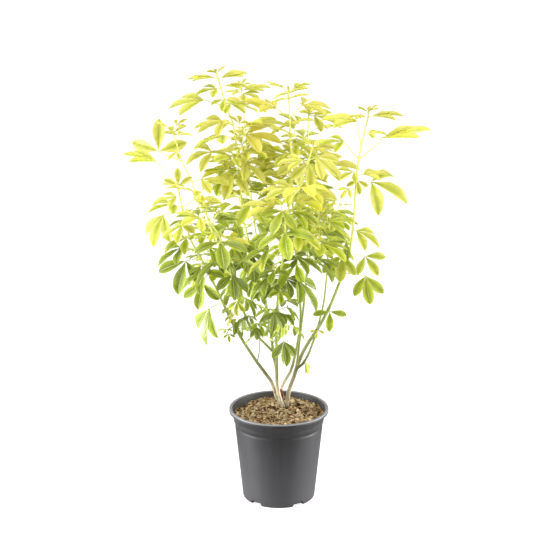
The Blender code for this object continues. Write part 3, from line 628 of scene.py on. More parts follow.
def tube(centres, radii, sides):
    """A tapered tube along its centres, closed at both ends."""
    points, faces = [], []
    across = Vector(FIRST_ACROSS)
    for i, centre in enumerate(centres):
        heading = (centres[min(i + 1, len(centres) - 1)] - centres[max(i - 1, 0)]).normalized()
        across = (across - heading * across.dot(heading)).normalized()
        other = heading.cross(across)
        for k in range(sides):
            turn = math.tau * k / sides
            points.append(centre + (across * math.cos(turn) + other * math.sin(turn)) * radii[i])
    for i in range(len(centres) - 1):
        for k in range(sides):
            a, b = i * sides + k, i * sides + (k + 1) % sides
            faces.append((a, b, b + sides, a + sides))
    faces.append(tuple(range(sides))[::-1])
    faces.append(tuple(range(len(points) - sides, len(points))))
    return points, faces


def scattered_fibres(seed):
    """Loose coir fibres, which lie along the soil in slack curves with one end often lifted."""
    draw = random.Random(seed)
    gathered = Gathered("tone")
    for _ in range(FIBRES):
        place = on_soil(draw)
        length = between(draw, FIBRE_LENGTHS, MOSTLY_SHORT)
        turn = draw.uniform(0.0, math.tau)
        bend = draw.uniform(-FIBRE_BEND, FIBRE_BEND)
        lifted = draw.choice((0.0, 0.0, draw.uniform(*FIBRE_LIFTS)))
        radius = FIBRE_RADIUS * draw.uniform(*FIBRE_THICKNESSES)
        centres = []
        for i in range(FIBRE_JOINTS):
            share = i / (FIBRE_JOINTS - 1)
            ground = max(soil_height(place.x, place.y), place.z - FIBRE_DIP)
            centres.append(Vector((place.x, place.y, ground + FIBRE_CLEAR + lifted * share * share)))
            turn += bend + draw.uniform(-FIBRE_WOBBLE, FIBRE_WOBBLE)
            step = length / (FIBRE_JOINTS - 1)
            place = Vector((place.x + step * math.cos(turn), place.y + step * math.sin(turn), ground))
            reach = place.xy.length
            if reach > BAND_RADIUS - WALL:
                place.xy *= (BAND_RADIUS - WALL) / reach
        radii = [radius * (1.0 - FIBRE_TAPER * i / FIBRE_JOINTS) for i in range(FIBRE_JOINTS)]
        gathered.add(*tube(centres, radii, FIBRE_SIDES), tone=draw.random())
    return gathered


def swung(tree, pattern, amount):
    """A pattern from 0 to 1 as a swing to both sides of none."""
    return scaled(tree, reckon(tree, "SUBTRACT", pattern, 0.5), amount)


def peat(name, loose):
    """Matt peat and coir. The bed's tone comes from noise, and a loose bit's from its own mark. Low in
    the pot the bed is painted into shade.
    """
    finish, tree, shader = new_finish(name)
    place = put(tree, "TexCoord").outputs["Object"]
    fine = grain(tree, place, *PEAT_GRAIN)
    main = mark(tree, "tone") if loose else grain(tree, place, *PEAT_LUMPS)
    main_share, fine_share = LOOSE_TONE if loose else BED_TONE
    tone = added(tree, scaled(tree, main, main_share), scaled(tree, fine, fine_share))
    tone = added(tree, tone, swung(tree, grain(tree, place, *CLODS), CLOD_TONE))
    colour = ramp(tree, tone, (0.30, PEAT_DARK_AND_SHADE), (0.42, PEAT_BROWN), (0.54, PEAT_TAN), (0.74, COIR_PALE))
    if not loose:
        # Painted shade: the bed darkens low in the pot, under its edge.
        height = put(tree, "SeparateXYZ", {"Vector": place}).outputs["Z"]
        lit = remapped(tree, height, [SOIL_EDGE - depth for depth in PAINTED_SHADE_DEPTHS])
        colour = mixed(tree, lit, PEAT_DARK_AND_SHADE, colour)
    plug(tree, shader, {"Base Color": colour, "Roughness": 0.92, "Specular IOR Level": 0.2,
                        "Normal": relief(tree, fine, *PEAT_RELIEF)})
    return finish


def loose_piece(name, gathered, finish):
    """A piece of loose bits that lie on the soil."""
    piece = add_object(name, gathered.mesh(name), finish)
    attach(piece, "root")


soil = add_object("soil_bed", soil_mesh(), peat("peat bed", False))
smooth_edges(soil, SOIL_CREASE)
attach(soil, "root")
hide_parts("soil")
loose_peat = peat("loose peat and coir", True)
loose_piece("peat_crumbs", scattered_crumbs(CRUMBS, CRUMB_SIZES, CRUMB_FLATNESS, SOIL_SEED), loose_peat)
loose_piece("bark_flakes", scattered_crumbs(FLAKES, FLAKE_SIZES, FLAKE_FLATNESS, SOIL_SEED + 1), loose_peat)
loose_piece("coir_fibres", scattered_fibres(SOIL_SEED + 2), loose_peat)

# The plant: four leafy stems that rise from one crown and fork low down. Each grew as one piece, with
# its side shoots and its leaves of three leaflets in crossed pairs. The routes and the rule of growth
# are those of the part's solids, so each leaf here is the solid's own leaf, finely made.
ROOTING_DEPTH = 0.0550
STEM_SIDES = 5
SIDE_SHOOT_SIDES = 4
TAPER = 0.8
ROUTE_STEP = 0.045
LEAFLET = 0.060
LEAFLET_SLIMNESS = 0.40
SIDE_LEAFLET = 0.86
BLADE_THICKNESS = 0.0016
STALK_THICKNESS = 0.0020
TIP_DISTANCE = 0.003
FIRST_GAP = 0.018
GAP_GROWTH = 0.010
WIDEST_GAP = 0.044
FULL_GROWN = 3.0
HANGING_BELOW = 0.62
HANGING_OVER = 0.20
# The pitch of a stalk and of a blade when young, and what full growth and hanging low add to it.
STALK_PITCHES = (60.0, -28.0, -40.0)
BLADE_PITCHES = (34.0, -32.0, -58.0)
YOUNG_SIZE = 0.30
YOUNG_STALK = 0.007
STALK_GROWTH = 0.020
# How much the leaves vary: factors of the stalk and the length, swings of the angles, and the rest.
TURN_SWING = 24.0
LEAF_RANGES = dict(spread=(48.0, 66.0), stalk=(0.7, 1.5), stalk_pitch=(-10.0, 10.0), length=(0.84, 1.10),
                   pitch=(-13.0, 13.0), roll=(-22.0, 22.0), fold=(0.30, 0.50), droop=(0.06, 0.22))
SEEDS_A_STEM = 100
# A plain leaflet's outline: the share of its length at which a point lies, and its share of the half
# width, of the fold's lift and of the tip's droop there.
SHOULDER = (0.44, 0.94, 1.0, 0.08)
CHEEK = (0.83, 0.78, 0.7, 0.60)
MIDRIB = (0.54, 0.0, 0.0, 0.16)
LEAFLET_ROOT = 0.09
HUB_LENGTH = 0.003
STALK_FACES = 7
# How a leaf bends clear of what stands near it: shrinking, then swinging aside and up or down.
SPARE_ROOM = 0.0012
NEAR_ENOUGH_TO_TOUCH = 0.20
LEAFLET_REACH = 1.1
SHRINKS = (1.0, 0.88, 0.75)
SWINGS = ((0, 0), (10, 0), (-10, 0), (0, 12), (0, -12), (20, 6), (-20, 6), (20, -10), (-20, -10),
          (32, 0), (-32, 0), (0, 24), (0, -24), (44, 10), (-44, 10))


def leaf_at(height, stalk, blade, length, spread=58.0, droop=0.12, fold=0.40):
    """A leaf placed as it shows in the photograph.

    height: of its root on the shoot. stalk: its turn, its pitch and its length. blade: its turn, its
    pitch and its roll. length: of its middle leaflet. spread: between leaflets.
    """
    return dict(height=height, stalk_turn=stalk[0], stalk_pitch=stalk[1], stalk=stalk[2], turn=blade[0],
                pitch=blade[1], roll=blade[2], length=length, spread=spread, droop=droop, fold=fold)


def shoot(route, radii, pairs, turn, twists=(), bare=(), age=0, leaf=1.0, placed=()):
    """One shoot, from its foot to its tip, and what it bears.

    route: the points that it passes through. radii: at its foot and at its tip.
    pairs: its number of leaf pairs. turn: where the tip pair points (0 is +X, 90 is +Y).
    twists: the turns of pairs that twist towards the light, by their number from the tip.
    bare: the pairs that it has lost. age: of the tip pair (3 is full grown). leaf: its leaf size.
    placed: the leaves that are placed one by one.
    """
    return dict(route=route, radii=radii, pairs=pairs, turn=turn, twists=dict(twists), bare=bare, age=age,
                leaf=leaf, placed=placed)


STEMS = {
    "stem_left": [
        shoot([(0.003, 0.031, 0.173), (-0.005, 0.029, 0.193), (-0.014, 0.025, 0.221),
               (-0.025, 0.021, 0.239), (-0.049, 0.013, 0.277), (-0.084, 0.000, 0.342),
               (-0.124, -0.020, 0.439), (-0.145, -0.030, 0.486), (-0.164, -0.035, 0.527),
               (-0.181, -0.032, 0.605), (-0.185, -0.030, 0.627)],
              (0.0040, 0.0012), pairs=6, bare=(0,), turn=10, twists=[(3, 215), (5, 212)], placed=[
                  leaf_at(0.622, (180, 49, 0.056), (180, 13, -7), 0.066, spread=34, droop=0.05),
                  leaf_at(0.613, (90, 60, 0.006), (95, 72, 0), 0.034),
                  leaf_at(0.600, (190, 0, 0.006), (195, -12, -8), 0.046),
                  leaf_at(0.572, (185, -8, 0.036), (222, -62, -10), 0.062, spread=34),
                  leaf_at(0.484, (180, -14, 0.028), (230, -55, -20), 0.064, spread=55),
                  leaf_at(0.452, (190, -55, 0.022), (262, -70, 0), 0.050, spread=50),
                  leaf_at(0.392, (182, -25, 0.028), (213, -80, 0), 0.072, spread=38, fold=0.50),
                  leaf_at(0.350, (20, 0, 0.004), (325, -74, 0), 0.034, spread=36),
              ]),
        shoot([(-0.084, 0.000, 0.342), (-0.092, 0.004, 0.336), (-0.098, 0.006, 0.326)],
              (0.0011, 0.0008), pairs=1, turn=120, age=2, leaf=0.40),
        shoot([(-0.041, 0.016, 0.264), (-0.037, 0.012, 0.290), (-0.036, 0.006, 0.322)],
              (0.0012, 0.0008), pairs=1, turn=15, age=2, leaf=0.38),
    ],
    "stem_middle": [
        shoot([(0.008, 0.022, 0.173), (0.001, 0.021, 0.193), (-0.003, 0.018, 0.216),
               (-0.004, 0.010, 0.247), (-0.004, -0.008, 0.287), (-0.005, -0.040, 0.345),
               (-0.002, -0.070, 0.415), (0.005, -0.100, 0.487), (0.011, -0.120, 0.539),
               (0.014, -0.140, 0.593), (0.036, -0.145, 0.650), (0.052, -0.140, 0.691),
               (0.058, -0.137, 0.713)],
              (0.0038, 0.0012), pairs=8, bare=(1, 2), turn=0,
              twists=[(3, -35), (4, -10), (5, 268), (7, -22)], leaf=1.10, placed=[
                  leaf_at(0.689, (10, 25, 0.014), (338, -32, 25), 0.054, spread=45),
                  leaf_at(0.685, (268, 15, 0.006), (258, -55, 0), 0.050, spread=50),
                  leaf_at(0.687, (180, 10, 0.010), (186, -4, -14), 0.046, spread=50),
                  leaf_at(0.655, (0, 28, 0.010), (356, 4, 8), 0.048, spread=50),
                  leaf_at(0.640, (5, 18, 0.012), (354, -2, 12), 0.060, spread=48),
                  leaf_at(0.638, (190, 20, 0.010), (196, -12, -20), 0.050),
                  leaf_at(0.596, (200, 20, 0.010), (235, -40, -15), 0.050),
                  leaf_at(0.592, (340, 20, 0.012), (325, -35, 15), 0.056),
                  leaf_at(0.390, (270, 0, 0.006), (266, -42, 0), 0.026, spread=50),
                  leaf_at(0.382, (350, 10, 0.014), (318, -35, 10), 0.028, spread=30),
                  leaf_at(0.370, (0, -20, 0.012), (322, -72, 0), 0.028, spread=38),
                  leaf_at(0.363, (340, -67, 0.036), (285, -66, 0), 0.046, spread=38),
                  leaf_at(0.282, (330, -20, 0.003), (305, -72, 60), 0.026, spread=20, droop=0.30),
              ]),
        shoot([(-0.004, 0.010, 0.247), (-0.008, 0.022, 0.267), (-0.011, 0.032, 0.280),
               (-0.018, 0.058, 0.325), (-0.032, 0.070, 0.392), (-0.055, 0.070, 0.478),
               (-0.068, 0.062, 0.542), (-0.073, 0.058, 0.613), (-0.083, 0.050, 0.707),
               (-0.097, 0.040, 0.754), (-0.107, 0.030, 0.792), (-0.114, 0.030, 0.814)],
              (0.0032, 0.0012), pairs=10, bare=(1, 2, 3), turn=20, twists=[(5, 235)], leaf=1.08, placed=[
                  leaf_at(0.804, (0, 25, 0.007), (3, 12, 8), 0.050, spread=30, droop=0.05),
                  leaf_at(0.804, (180, 20, 0.008), (178, 0, 0), 0.050, spread=30, droop=0.10),
                  leaf_at(0.790, (350, 12, 0.008), (355, 2, 0), 0.046, spread=30),
                  leaf_at(0.787, (190, 0, 0.008), (195, -10, -10), 0.042),
                  leaf_at(0.765, (268, 10, 0.010), (262, -32, 0), 0.030, spread=66),
                  leaf_at(0.754, (330, 20, 0.010), (318, -15, 10), 0.040, spread=60),
                  leaf_at(0.754, (180, 14, 0.042), (181, -8, -14), 0.068, spread=42, droop=0.12),
                  leaf_at(0.695, (0, 8, 0.020), (352, -8, 20), 0.068, spread=55),
                  leaf_at(0.715, (185, 25, 0.020), (190, -18, -20), 0.052),
                  leaf_at(0.668, (180, -5, 0.046), (185, -8, -25), 0.055, droop=0.32),
                  leaf_at(0.645, (350, 0, 0.014), (332, -35, 10), 0.056),
                  leaf_at(0.625, (220, -5, 0.012), (242, -45, -10), 0.054),
              ]),
        shoot([(-0.011, 0.032, 0.280), (-0.014, 0.055, 0.300), (-0.021, 0.090, 0.335),
               (-0.035, 0.135, 0.420), (-0.052, 0.160, 0.535), (-0.061, 0.165, 0.644),
               (-0.068, 0.155, 0.723), (-0.072, 0.150, 0.770)],
              (0.0025, 0.0011), pairs=8, bare=(1,), turn=80, leaf=1.08, placed=[
                  leaf_at(0.762, (0, 25, 0.006), (8, 10, 4), 0.052, spread=36),
                  leaf_at(0.757, (312, 10, 0.006), (330, -12, 12), 0.038, spread=60),
                  leaf_at(0.758, (180, 20, 0.005), (175, 5, -5), 0.028),
                  leaf_at(0.735, (0, 10, 0.015), (0, -6, 8), 0.052, spread=42),
                  leaf_at(0.658, (355, 5, 0.034), (300, -68, 0), 0.050, spread=28),
              ]),
        shoot([(-0.004, -0.008, 0.287), (-0.022, -0.010, 0.306), (-0.050, -0.024, 0.343),
               (-0.065, -0.040, 0.382), (-0.075, -0.060, 0.419), (-0.092, -0.080, 0.487),
               (-0.121, -0.100, 0.556), (-0.134, -0.110, 0.609)],
              (0.0026, 0.0012), pairs=5, turn=0, twists=[(3, 255)], placed=[
                  leaf_at(0.462, (290, -10, 0.012), (310, -64, 0), 0.046, spread=44),
                  leaf_at(0.440, (100, -5, 0.014), (140, -60, 0), 0.048),
                  leaf_at(0.372, (200, 0, 0.004), (215, -76, 0), 0.034, spread=38),
                  leaf_at(0.352, (10, -10, 0.010), (285, -66, 0), 0.028, spread=30),
              ]),
        shoot([(-0.088, -0.075, 0.470), (-0.106, -0.030, 0.516), (-0.148, 0.020, 0.576),
               (-0.163, 0.036, 0.615), (-0.178, 0.040, 0.646), (-0.190, 0.040, 0.687),
               (-0.199, 0.040, 0.707)],
              (0.0020, 0.0010), pairs=2, turn=10, age=1, leaf=0.80, placed=[
                  leaf_at(0.648, (180, 22, 0.048), (92, 80, 0), 0.062, spread=72),
                  leaf_at(0.668, (200, 0, 0.006), (190, -25, -15), 0.024),
                  leaf_at(0.612, (350, 5, 0.018), (348, -14, 20), 0.056),
              ]),
        shoot([(-0.0125, 0.0385, 0.292), (-0.004, 0.042, 0.308), (0.006, 0.044, 0.326)],
              (0.0011, 0.0008), pairs=1, turn=-40, age=2, leaf=0.75),
        shoot([(-0.005, -0.028, 0.324), (0.002, -0.036, 0.338), (0.013, -0.044, 0.356)],
              (0.0011, 0.0008), pairs=1, turn=-10, age=2, leaf=0.55),
    ],
    "stem_back": [
        shoot([(0.005, 0.043, 0.173), (0.005, 0.046, 0.199), (0.012, 0.049, 0.215),
               (0.024, 0.054, 0.236), (0.032, 0.062, 0.266), (0.036, 0.068, 0.283),
               (0.042, 0.083, 0.323), (0.041, 0.098, 0.363), (0.033, 0.100, 0.460),
               (0.025, 0.090, 0.581), (0.021, 0.070, 0.681), (0.019, 0.060, 0.748),
               (0.017, 0.060, 0.776)],
              (0.0034, 0.0012), pairs=9, turn=5, age=1, leaf=1.05, placed=[
                  leaf_at(0.655, (200, 5, 0.012), (188, -6, -18), 0.052),
                  leaf_at(0.640, (300, 0, 0.014), (290, -45, 0), 0.052),
                  leaf_at(0.676, (330, 10, 0.012), (328, -25, 12), 0.054),
              ]),
        shoot([(0.036, 0.068, 0.283), (0.042, 0.090, 0.309), (0.049, 0.130, 0.343),
               (0.056, 0.170, 0.420), (0.059, 0.180, 0.580), (0.056, 0.165, 0.663),
               (0.057, 0.150, 0.727)],
              (0.0027, 0.0011), pairs=7, turn=0, leaf=1.08, placed=[
                  leaf_at(0.716, (0, -10, 0.010), (350, -15, 20), 0.056),
                  leaf_at(0.650, (330, 10, 0.016), (325, -30, 10), 0.056),
              ]),
        shoot([(0.005, 0.044, 0.176), (0.007, 0.038, 0.189), (0.004, 0.034, 0.202)],
              (0.0031, 0.0026), pairs=0, turn=0),
    ],
    "stem_right": [
        shoot([(0.016, 0.033, 0.173), (0.019, 0.031, 0.198), (0.024, 0.029, 0.216),
               (0.030, 0.025, 0.235), (0.033, 0.022, 0.248), (0.044, 0.012, 0.282),
               (0.055, 0.005, 0.306), (0.077, -0.004, 0.345), (0.095, -0.014, 0.385),
               (0.116, -0.030, 0.448), (0.129, -0.030, 0.492), (0.135, -0.025, 0.533),
               (0.138, -0.020, 0.577), (0.141, -0.020, 0.638), (0.147, -0.020, 0.682),
               (0.157, -0.020, 0.729), (0.161, -0.020, 0.752)],
              (0.0044, 0.0012), pairs=1, turn=30, placed=[
                  leaf_at(0.666, (0, 43, 0.058), (358, 9, 4), 0.088, spread=30, droop=0.0),
                  leaf_at(0.600, (0, 40, 0.037), (350, -14, 28), 0.074, spread=62, droop=0.34),
                  leaf_at(0.690, (180, 80, 0.046), (182, 8, -7), 0.068, spread=38),
                  leaf_at(0.666, (180, 50, 0.044), (184, -4, -12), 0.050, droop=0.15),
                  leaf_at(0.742, (0, 20, 0.010), (0, 4, 5), 0.054, spread=30),
                  leaf_at(0.742, (180, 20, 0.005), (180, 5, 0), 0.032, spread=45),
                  leaf_at(0.712, (340, 15, 0.008), (350, 5, 5), 0.034),
                  leaf_at(0.636, (355, 10, 0.012), (355, 2, 8), 0.046, spread=45),
                  leaf_at(0.640, (205, 25, 0.008), (215, -15, -25), 0.034),
                  leaf_at(0.628, (285, 0, 0.006), (280, -60, 0), 0.028),
                  leaf_at(0.610, (195, 10, 0.014), (215, -40, -20), 0.024),
                  leaf_at(0.534, (340, 0, 0.006), (340, -20, 15), 0.050, spread=40, droop=0.30),
                  leaf_at(0.515, (200, 10, 0.010), (205, -15, -55), 0.048),
                  leaf_at(0.490, (200, -5, 0.012), (242, -65, -20), 0.050, spread=45),
                  leaf_at(0.492, (355, -12, 0.030), (315, -45, 40), 0.044),
                  leaf_at(0.455, (0, -8, 0.042), (290, -65, 25), 0.052, spread=40),
                  leaf_at(0.378, (300, -20, 0.006), (270, -55, 0), 0.038, spread=76),
                  leaf_at(0.338, (260, -30, 0.004), (260, -50, 0), 0.018, spread=70),
              ]),
        shoot([(0.030, 0.025, 0.235), (0.035, 0.010, 0.269), (0.038, -0.008, 0.305),
               (0.042, -0.028, 0.353), (0.047, -0.050, 0.408), (0.053, -0.080, 0.481),
               (0.061, -0.100, 0.543), (0.076, -0.110, 0.609)],
              (0.0027, 0.0012), pairs=5, turn=30, twists=[(2, 200), (4, 240)]),
        shoot([(0.033, 0.022, 0.248), (0.046, 0.024, 0.259), (0.056, 0.022, 0.278),
               (0.063, 0.020, 0.298), (0.070, 0.021, 0.319), (0.079, 0.029, 0.351),
               (0.086, 0.040, 0.381), (0.092, 0.070, 0.431), (0.094, 0.090, 0.483),
               (0.092, 0.100, 0.530), (0.088, 0.100, 0.562)],
              (0.0026, 0.0011), pairs=4, turn=20, placed=[
                  leaf_at(0.455, (10, 0, 0.012), (255, -60, 0), 0.042, spread=36),
                  leaf_at(0.262, (330, -10, 0.003), (332, -66, 0), 0.026, spread=34),
              ]),
    ],
}


def curve_through(points, step):
    """Points about a step apart on a smooth curve through a route, with their distances along it."""
    knots = [Vector(point) for point in points]
    knots = [knots[0] * 2 - knots[1]] + knots + [knots[-1] * 2 - knots[-2]]
    curve = [knots[1]]
    for before, start, end, after in zip(knots, knots[1:], knots[2:], knots[3:]):
        parts = max(1, round((end - start).length / step))
        for i in range(1, parts + 1):
            t = i / parts
            curve.append(0.5 * (2 * start + (end - before) * t
                                + (2 * before - 5 * start + 4 * end - after) * t ** 2
                                + (3 * start - before - 3 * end + after) * t ** 3))
    along = [0.0]
    for start, end in zip(curve, curve[1:]):
        along.append(along[-1] + (end - start).length)
    return curve, along


def point_on(curve, along, distance):
    """The point of a curve at a distance along it."""
    for i in range(1, len(curve)):
        if distance <= along[i] or i == len(curve) - 1:
            share = (distance - along[i - 1]) / (along[i] - along[i - 1])
            return curve[i - 1].lerp(curve[i], min(1.0, max(0.0, share)))


def plain_shoot(growth, rooted):
    """A shoot's curve, the distances along it, and its plain solid, sunk into the soil if rooted."""
    curve, along = curve_through(growth["route"], ROUTE_STEP)
    foot, tip = growth["radii"]
    radii = [foot + (tip - foot) * (distance / along[-1]) ** TAPER for distance in along]
    if rooted:
        sunk = [curve[0] - Vector((0, 0, ROOTING_DEPTH))] + curve
        return curve, along, tube(sunk, [foot] + radii, STEM_SIDES)
    return curve, along, tube(curve, radii, SIDE_SHOOT_SIDES)


def leaf_axes(turn, pitch, roll):
    """The way ahead, to the left and up of a blade that is turned, pitched and rolled by degrees."""
    turn, pitch, roll = (math.radians(angle) for angle in (turn, pitch, roll))
    out = Vector((math.cos(turn), math.sin(turn), 0.0))
    level_left = Vector((-out.y, out.x, 0.0))
    ahead = out * math.cos(pitch) + Vector((0, 0, math.sin(pitch)))
    level_up = ahead.cross(level_left)
    left = level_left * math.cos(roll) + level_up * math.sin(roll)
    return ahead, left, ahead.cross(left)


def plain_leaf(leaf, spare=0.0):
    """One leaf as the solids have it: a three-sided stalk and three folded leaflets with sharp rims.

    Spare room makes the leaf that much larger all over. The stalk's faces come first.
    """
    ahead, left, up = leaf_axes(leaf["turn"], leaf["pitch"], leaf["roll"])
    rise = leaf_axes(leaf["stalk_turn"], leaf["stalk_pitch"], 0.0)[0]
    half_stalk = STALK_THICKNESS / 2 + spare
    half_blade = BLADE_THICKNESS / 2 + spare
    root = leaf["root"]
    hub = root + rise * leaf["stalk"]
    centre = hub + ahead * HUB_LENGTH
    notch = LEAFLET_ROOT * leaf["length"] + spare
    half = math.radians(leaf["spread"] / 2)
    points = [root + left * half_stalk, root - left * half_stalk, root - up * half_stalk,
              hub + left * half_stalk, hub - left * half_stalk, hub - up * half_stalk,
              centre + up * half_blade, centre - up * half_blade,
              hub + (ahead * math.cos(half) + left * math.sin(half)) * notch,
              hub + (ahead * math.cos(half) - left * math.sin(half)) * notch]
    faces = [(0, 1, 4, 3), (2, 5, 4, 1), (0, 3, 5, 2), (2, 1, 0), (6, 3, 4), (7, 5, 3), (7, 4, 5)]
    for side, size, right_notch, left_notch in ((0, 1.0, 9, 8), (1, SIDE_LEAFLET, 8, 3),
                                                (-1, SIDE_LEAFLET, 4, 9)):
        first = len(points)
        points += plain_leaflet(leaf, hub, (ahead, left, up), side * leaf["spread"], size, spare)
        for centre_point, hub_point, upper in ((first, 6, True), (first + 1, 7, False)):
            rim = [hub_point, right_notch] + list(range(first + 2, first + 7)) + [left_notch]
            for near, far in zip(rim, rim[1:] + rim[:1]):
                faces.append((centre_point, near, far) if upper else (centre_point, far, near))
    return points, faces


def plain_leaflet(leaf, hub, axes, spread, size, spare):
    """The seven points of a plain leaflet: its midrib above and below, then its rim."""
    ahead, left, up = axes
    spread = math.radians(spread)
    along = ahead * math.cos(spread) + left * math.sin(spread)
    aside = left * math.cos(spread) - ahead * math.sin(spread)
    length = leaf["length"] * size
    half_width = length * LEAFLET_SLIMNESS / 2
    lift = leaf["fold"] * half_width
    droop = leaf["droop"] * length
    half_blade = BLADE_THICKNESS / 2 + spare
    (middle, _), (shoulder, shoulder_out), (cheek, cheek_out) = [
        (hub + along * (station * length) + up * (raised * lift - sunk * droop),
         aside * (width * half_width + spare))
        for station, width, raised, sunk in (MIDRIB, SHOULDER, CHEEK)]
    tip = hub + along * (length + spare) - up * droop
    return [middle + up * half_blade, middle - up * half_blade, shoulder - shoulder_out,
            cheek - cheek_out, tip, cheek + cheek_out, shoulder + shoulder_out]


def distance_at(curve, along, height):
    """The distance along a rising curve at which it reaches a height."""
    for i in range(1, len(curve)):
        if curve[i].z >= height:
            share = (height - curve[i - 1].z) / (curve[i].z - curve[i - 1].z)
            return along[i - 1] + (along[i] - along[i - 1]) * share
    return along[-1]


def drawn(draw, ranges):
    """One number out of each range, in their order."""
    return {name: draw.uniform(*ends) for name, ends in ranges.items()}


def leaves_of(growth, curve, along, seed):
    """The leaves that a shoot bears, by its rule of growth, from the tip pair down.

    Young leaves by the tip are small and upright, full ones spread level, and low ones hang. A bare
    pair has fallen, but keeps its place.
    """
    draw = random.Random(seed)
    distance, gap = TIP_DISTANCE, FIRST_GAP
    leaves = []
    for pair in range(growth["pairs"]):
        root = point_on(curve, along, along[-1] - distance)
        age = min((pair + growth["age"]) / FULL_GROWN, 1.0)
        low = min(1.0, max(0.0, (HANGING_BELOW - root.z) / HANGING_OVER))
        stalk_pitch, pitch = (young + full * age + hanging * low
                              for young, full, hanging in (STALK_PITCHES, BLADE_PITCHES))
        size = LEAFLET * growth["leaf"] * (YOUNG_SIZE + (1.0 - YOUNG_SIZE) * age)
        turn = growth["twists"].get(pair, growth["turn"] + 90.0 * pair)
        sides = () if pair in growth["bare"] else (0.0, 180.0)
        for side in sides:
            heading = turn + side + draw.uniform(-TURN_SWING, TURN_SWING)
            leaf = drawn(draw, LEAF_RANGES)
            leaf.update(root=root, turn=heading, stalk_turn=heading,
                        stalk=YOUNG_STALK + STALK_GROWTH * age * leaf["stalk"],
                        stalk_pitch=stalk_pitch + leaf["stalk_pitch"],
                        length=size * leaf["length"], pitch=pitch + leaf["pitch"],
                        age=age, pair=pair, distance=along[-1] - distance)
            leaves.append(leaf)
        distance += gap
        gap = min(WIDEST_GAP, gap + GAP_GROWTH)
    return leaves


def bent_clear(leaf):
    """The leaf as it grows, and then bent aside, up, down and smaller, the least change first."""
    for shrink in SHRINKS:
        for swing, lift in SWINGS:
            yield dict(leaf, turn=leaf["turn"] + swing, stalk_turn=leaf["stalk_turn"] + swing,
                       pitch=leaf["pitch"] + lift, stalk_pitch=leaf["stalk_pitch"] + lift,
                       length=leaf["length"] * shrink)


def fits(leaf, node, standing, grown):
    """Whether a leaf clears the stems and leaves so far; its stalk may meet its own stem's."""
    points, faces = plain_leaf(leaf, SPARE_ROOM)
    whole = BVHTree.FromPolygons(points, faces)
    blade = BVHTree.FromPolygons(points, faces[STALK_FACES:])
    for owner, tree in standing:
        if (blade if owner == node else whole).overlap(tree):
            return False
    for owner, other, other_whole, other_blade in grown:
        apart = (other["root"] - leaf["root"]).length
        if apart > NEAR_ENOUGH_TO_TOUCH or apart > reach_of(leaf) + reach_of(other):
            continue
        if owner == node:
            if blade.overlap(other_whole) or whole.overlap(other_blade):
                return False
        elif whole.overlap(other_whole):
            return False
    return True


def reach_of(leaf):
    """How far a leaf can reach from its root."""
    return leaf["stalk"] + leaf["length"] * LEAFLET_REACH + 2 * SPARE_ROOM


def grow_leaf(leaf, node, standing, grown):
    """Let a leaf grow where it clears the rest, or not at all."""
    for choice in bent_clear(leaf):
        if fits(choice, node, standing, grown):
            points, faces = plain_leaf(choice)
            grown.append((node, choice, BVHTree.FromPolygons(points, faces),
                          BVHTree.FromPolygons(points, faces[STALK_FACES:])))
            return


def every_leaf(shoots_of):
    """Every leaf with its node: first those placed one by one, and then those of each shoot's rule."""
    for node, shoots in STEMS.items():
        for i, (growth, (curve, along, _)) in enumerate(zip(shoots, shoots_of[node])):
            for leaf in growth["placed"]:
                distance = distance_at(curve, along, leaf["height"])
                yield node, dict(leaf, root=point_on(curve, along, distance), shoot=i, distance=distance,
                                 age=1.0, pair=0)
    for number, (node, shoots) in enumerate(STEMS.items()):
        for i, growth in enumerate(shoots):
            curve, along, _ = shoots_of[node][i]
            for leaf in leaves_of(growth, curve, along, SEEDS_A_STEM * number + i):
                yield node, dict(leaf, shoot=i)


def grow_stems():
    """Every shoot with its curve, the stems' plain solids, and the leaves that the solids have."""
    shoots_of = {node: [plain_shoot(growth, i == 0) for i, growth in enumerate(shoots)]
                 for node, shoots in STEMS.items()}
    standing = [(node, BVHTree.FromPolygons(*solid))
                for node, shoots in shoots_of.items() for curve, along, solid in shoots]
    grown = []
    for node, leaf in every_leaf(shoots_of):
        grow_leaf(leaf, node, standing, grown)
    return shoots_of, standing, grown


# Short side shoots grow from the axils of the older leaves, with smaller leaves. They fill the plant
# between the leaves that the solids have, and stay inside the solids' box.
TWIG_SEED = 7000
TWIG_CHANCE = 0.95
TWIG_HEIGHTS = (0.60, 0.71)
TWIG_LOWEST = 0.33
TWIG_REACH = 0.36
TWIG_LENGTHS = (0.010, 0.040)
TWIG_RADII = (0.0009, 0.0006)
TWIG_LEAVES = (0.62, 1.0)
TWIG_AGES = (1, 1.5, 2)
# The lengths from which a twig bears a second and a third pair.
TWIG_PAIRS = (0.022, 0.034)
# How far a twig goes along with its shoot, leans out from it, and turns up at its end.
TWIG_ALONG = 0.7
TWIG_OUT = (0.6, 1.2)
TWIG_STRAIGHT = 0.9
TWIG_UP = 0.25
AXIL_STEP = 0.01
BOX_MARGIN = 0.002


def share_between(value, start, end):
    """How far a value has come from start to end, from 0 to 1."""
    return min(1.0, max(0.0, (value - start) / (end - start)))


def inside_box(points):
    """Whether points stay inside the solids' box."""
    low, high = cad_box
    return all(low[i] + BOX_MARGIN < point[i] < high[i] - BOX_MARGIN for point in points for i in range(3))


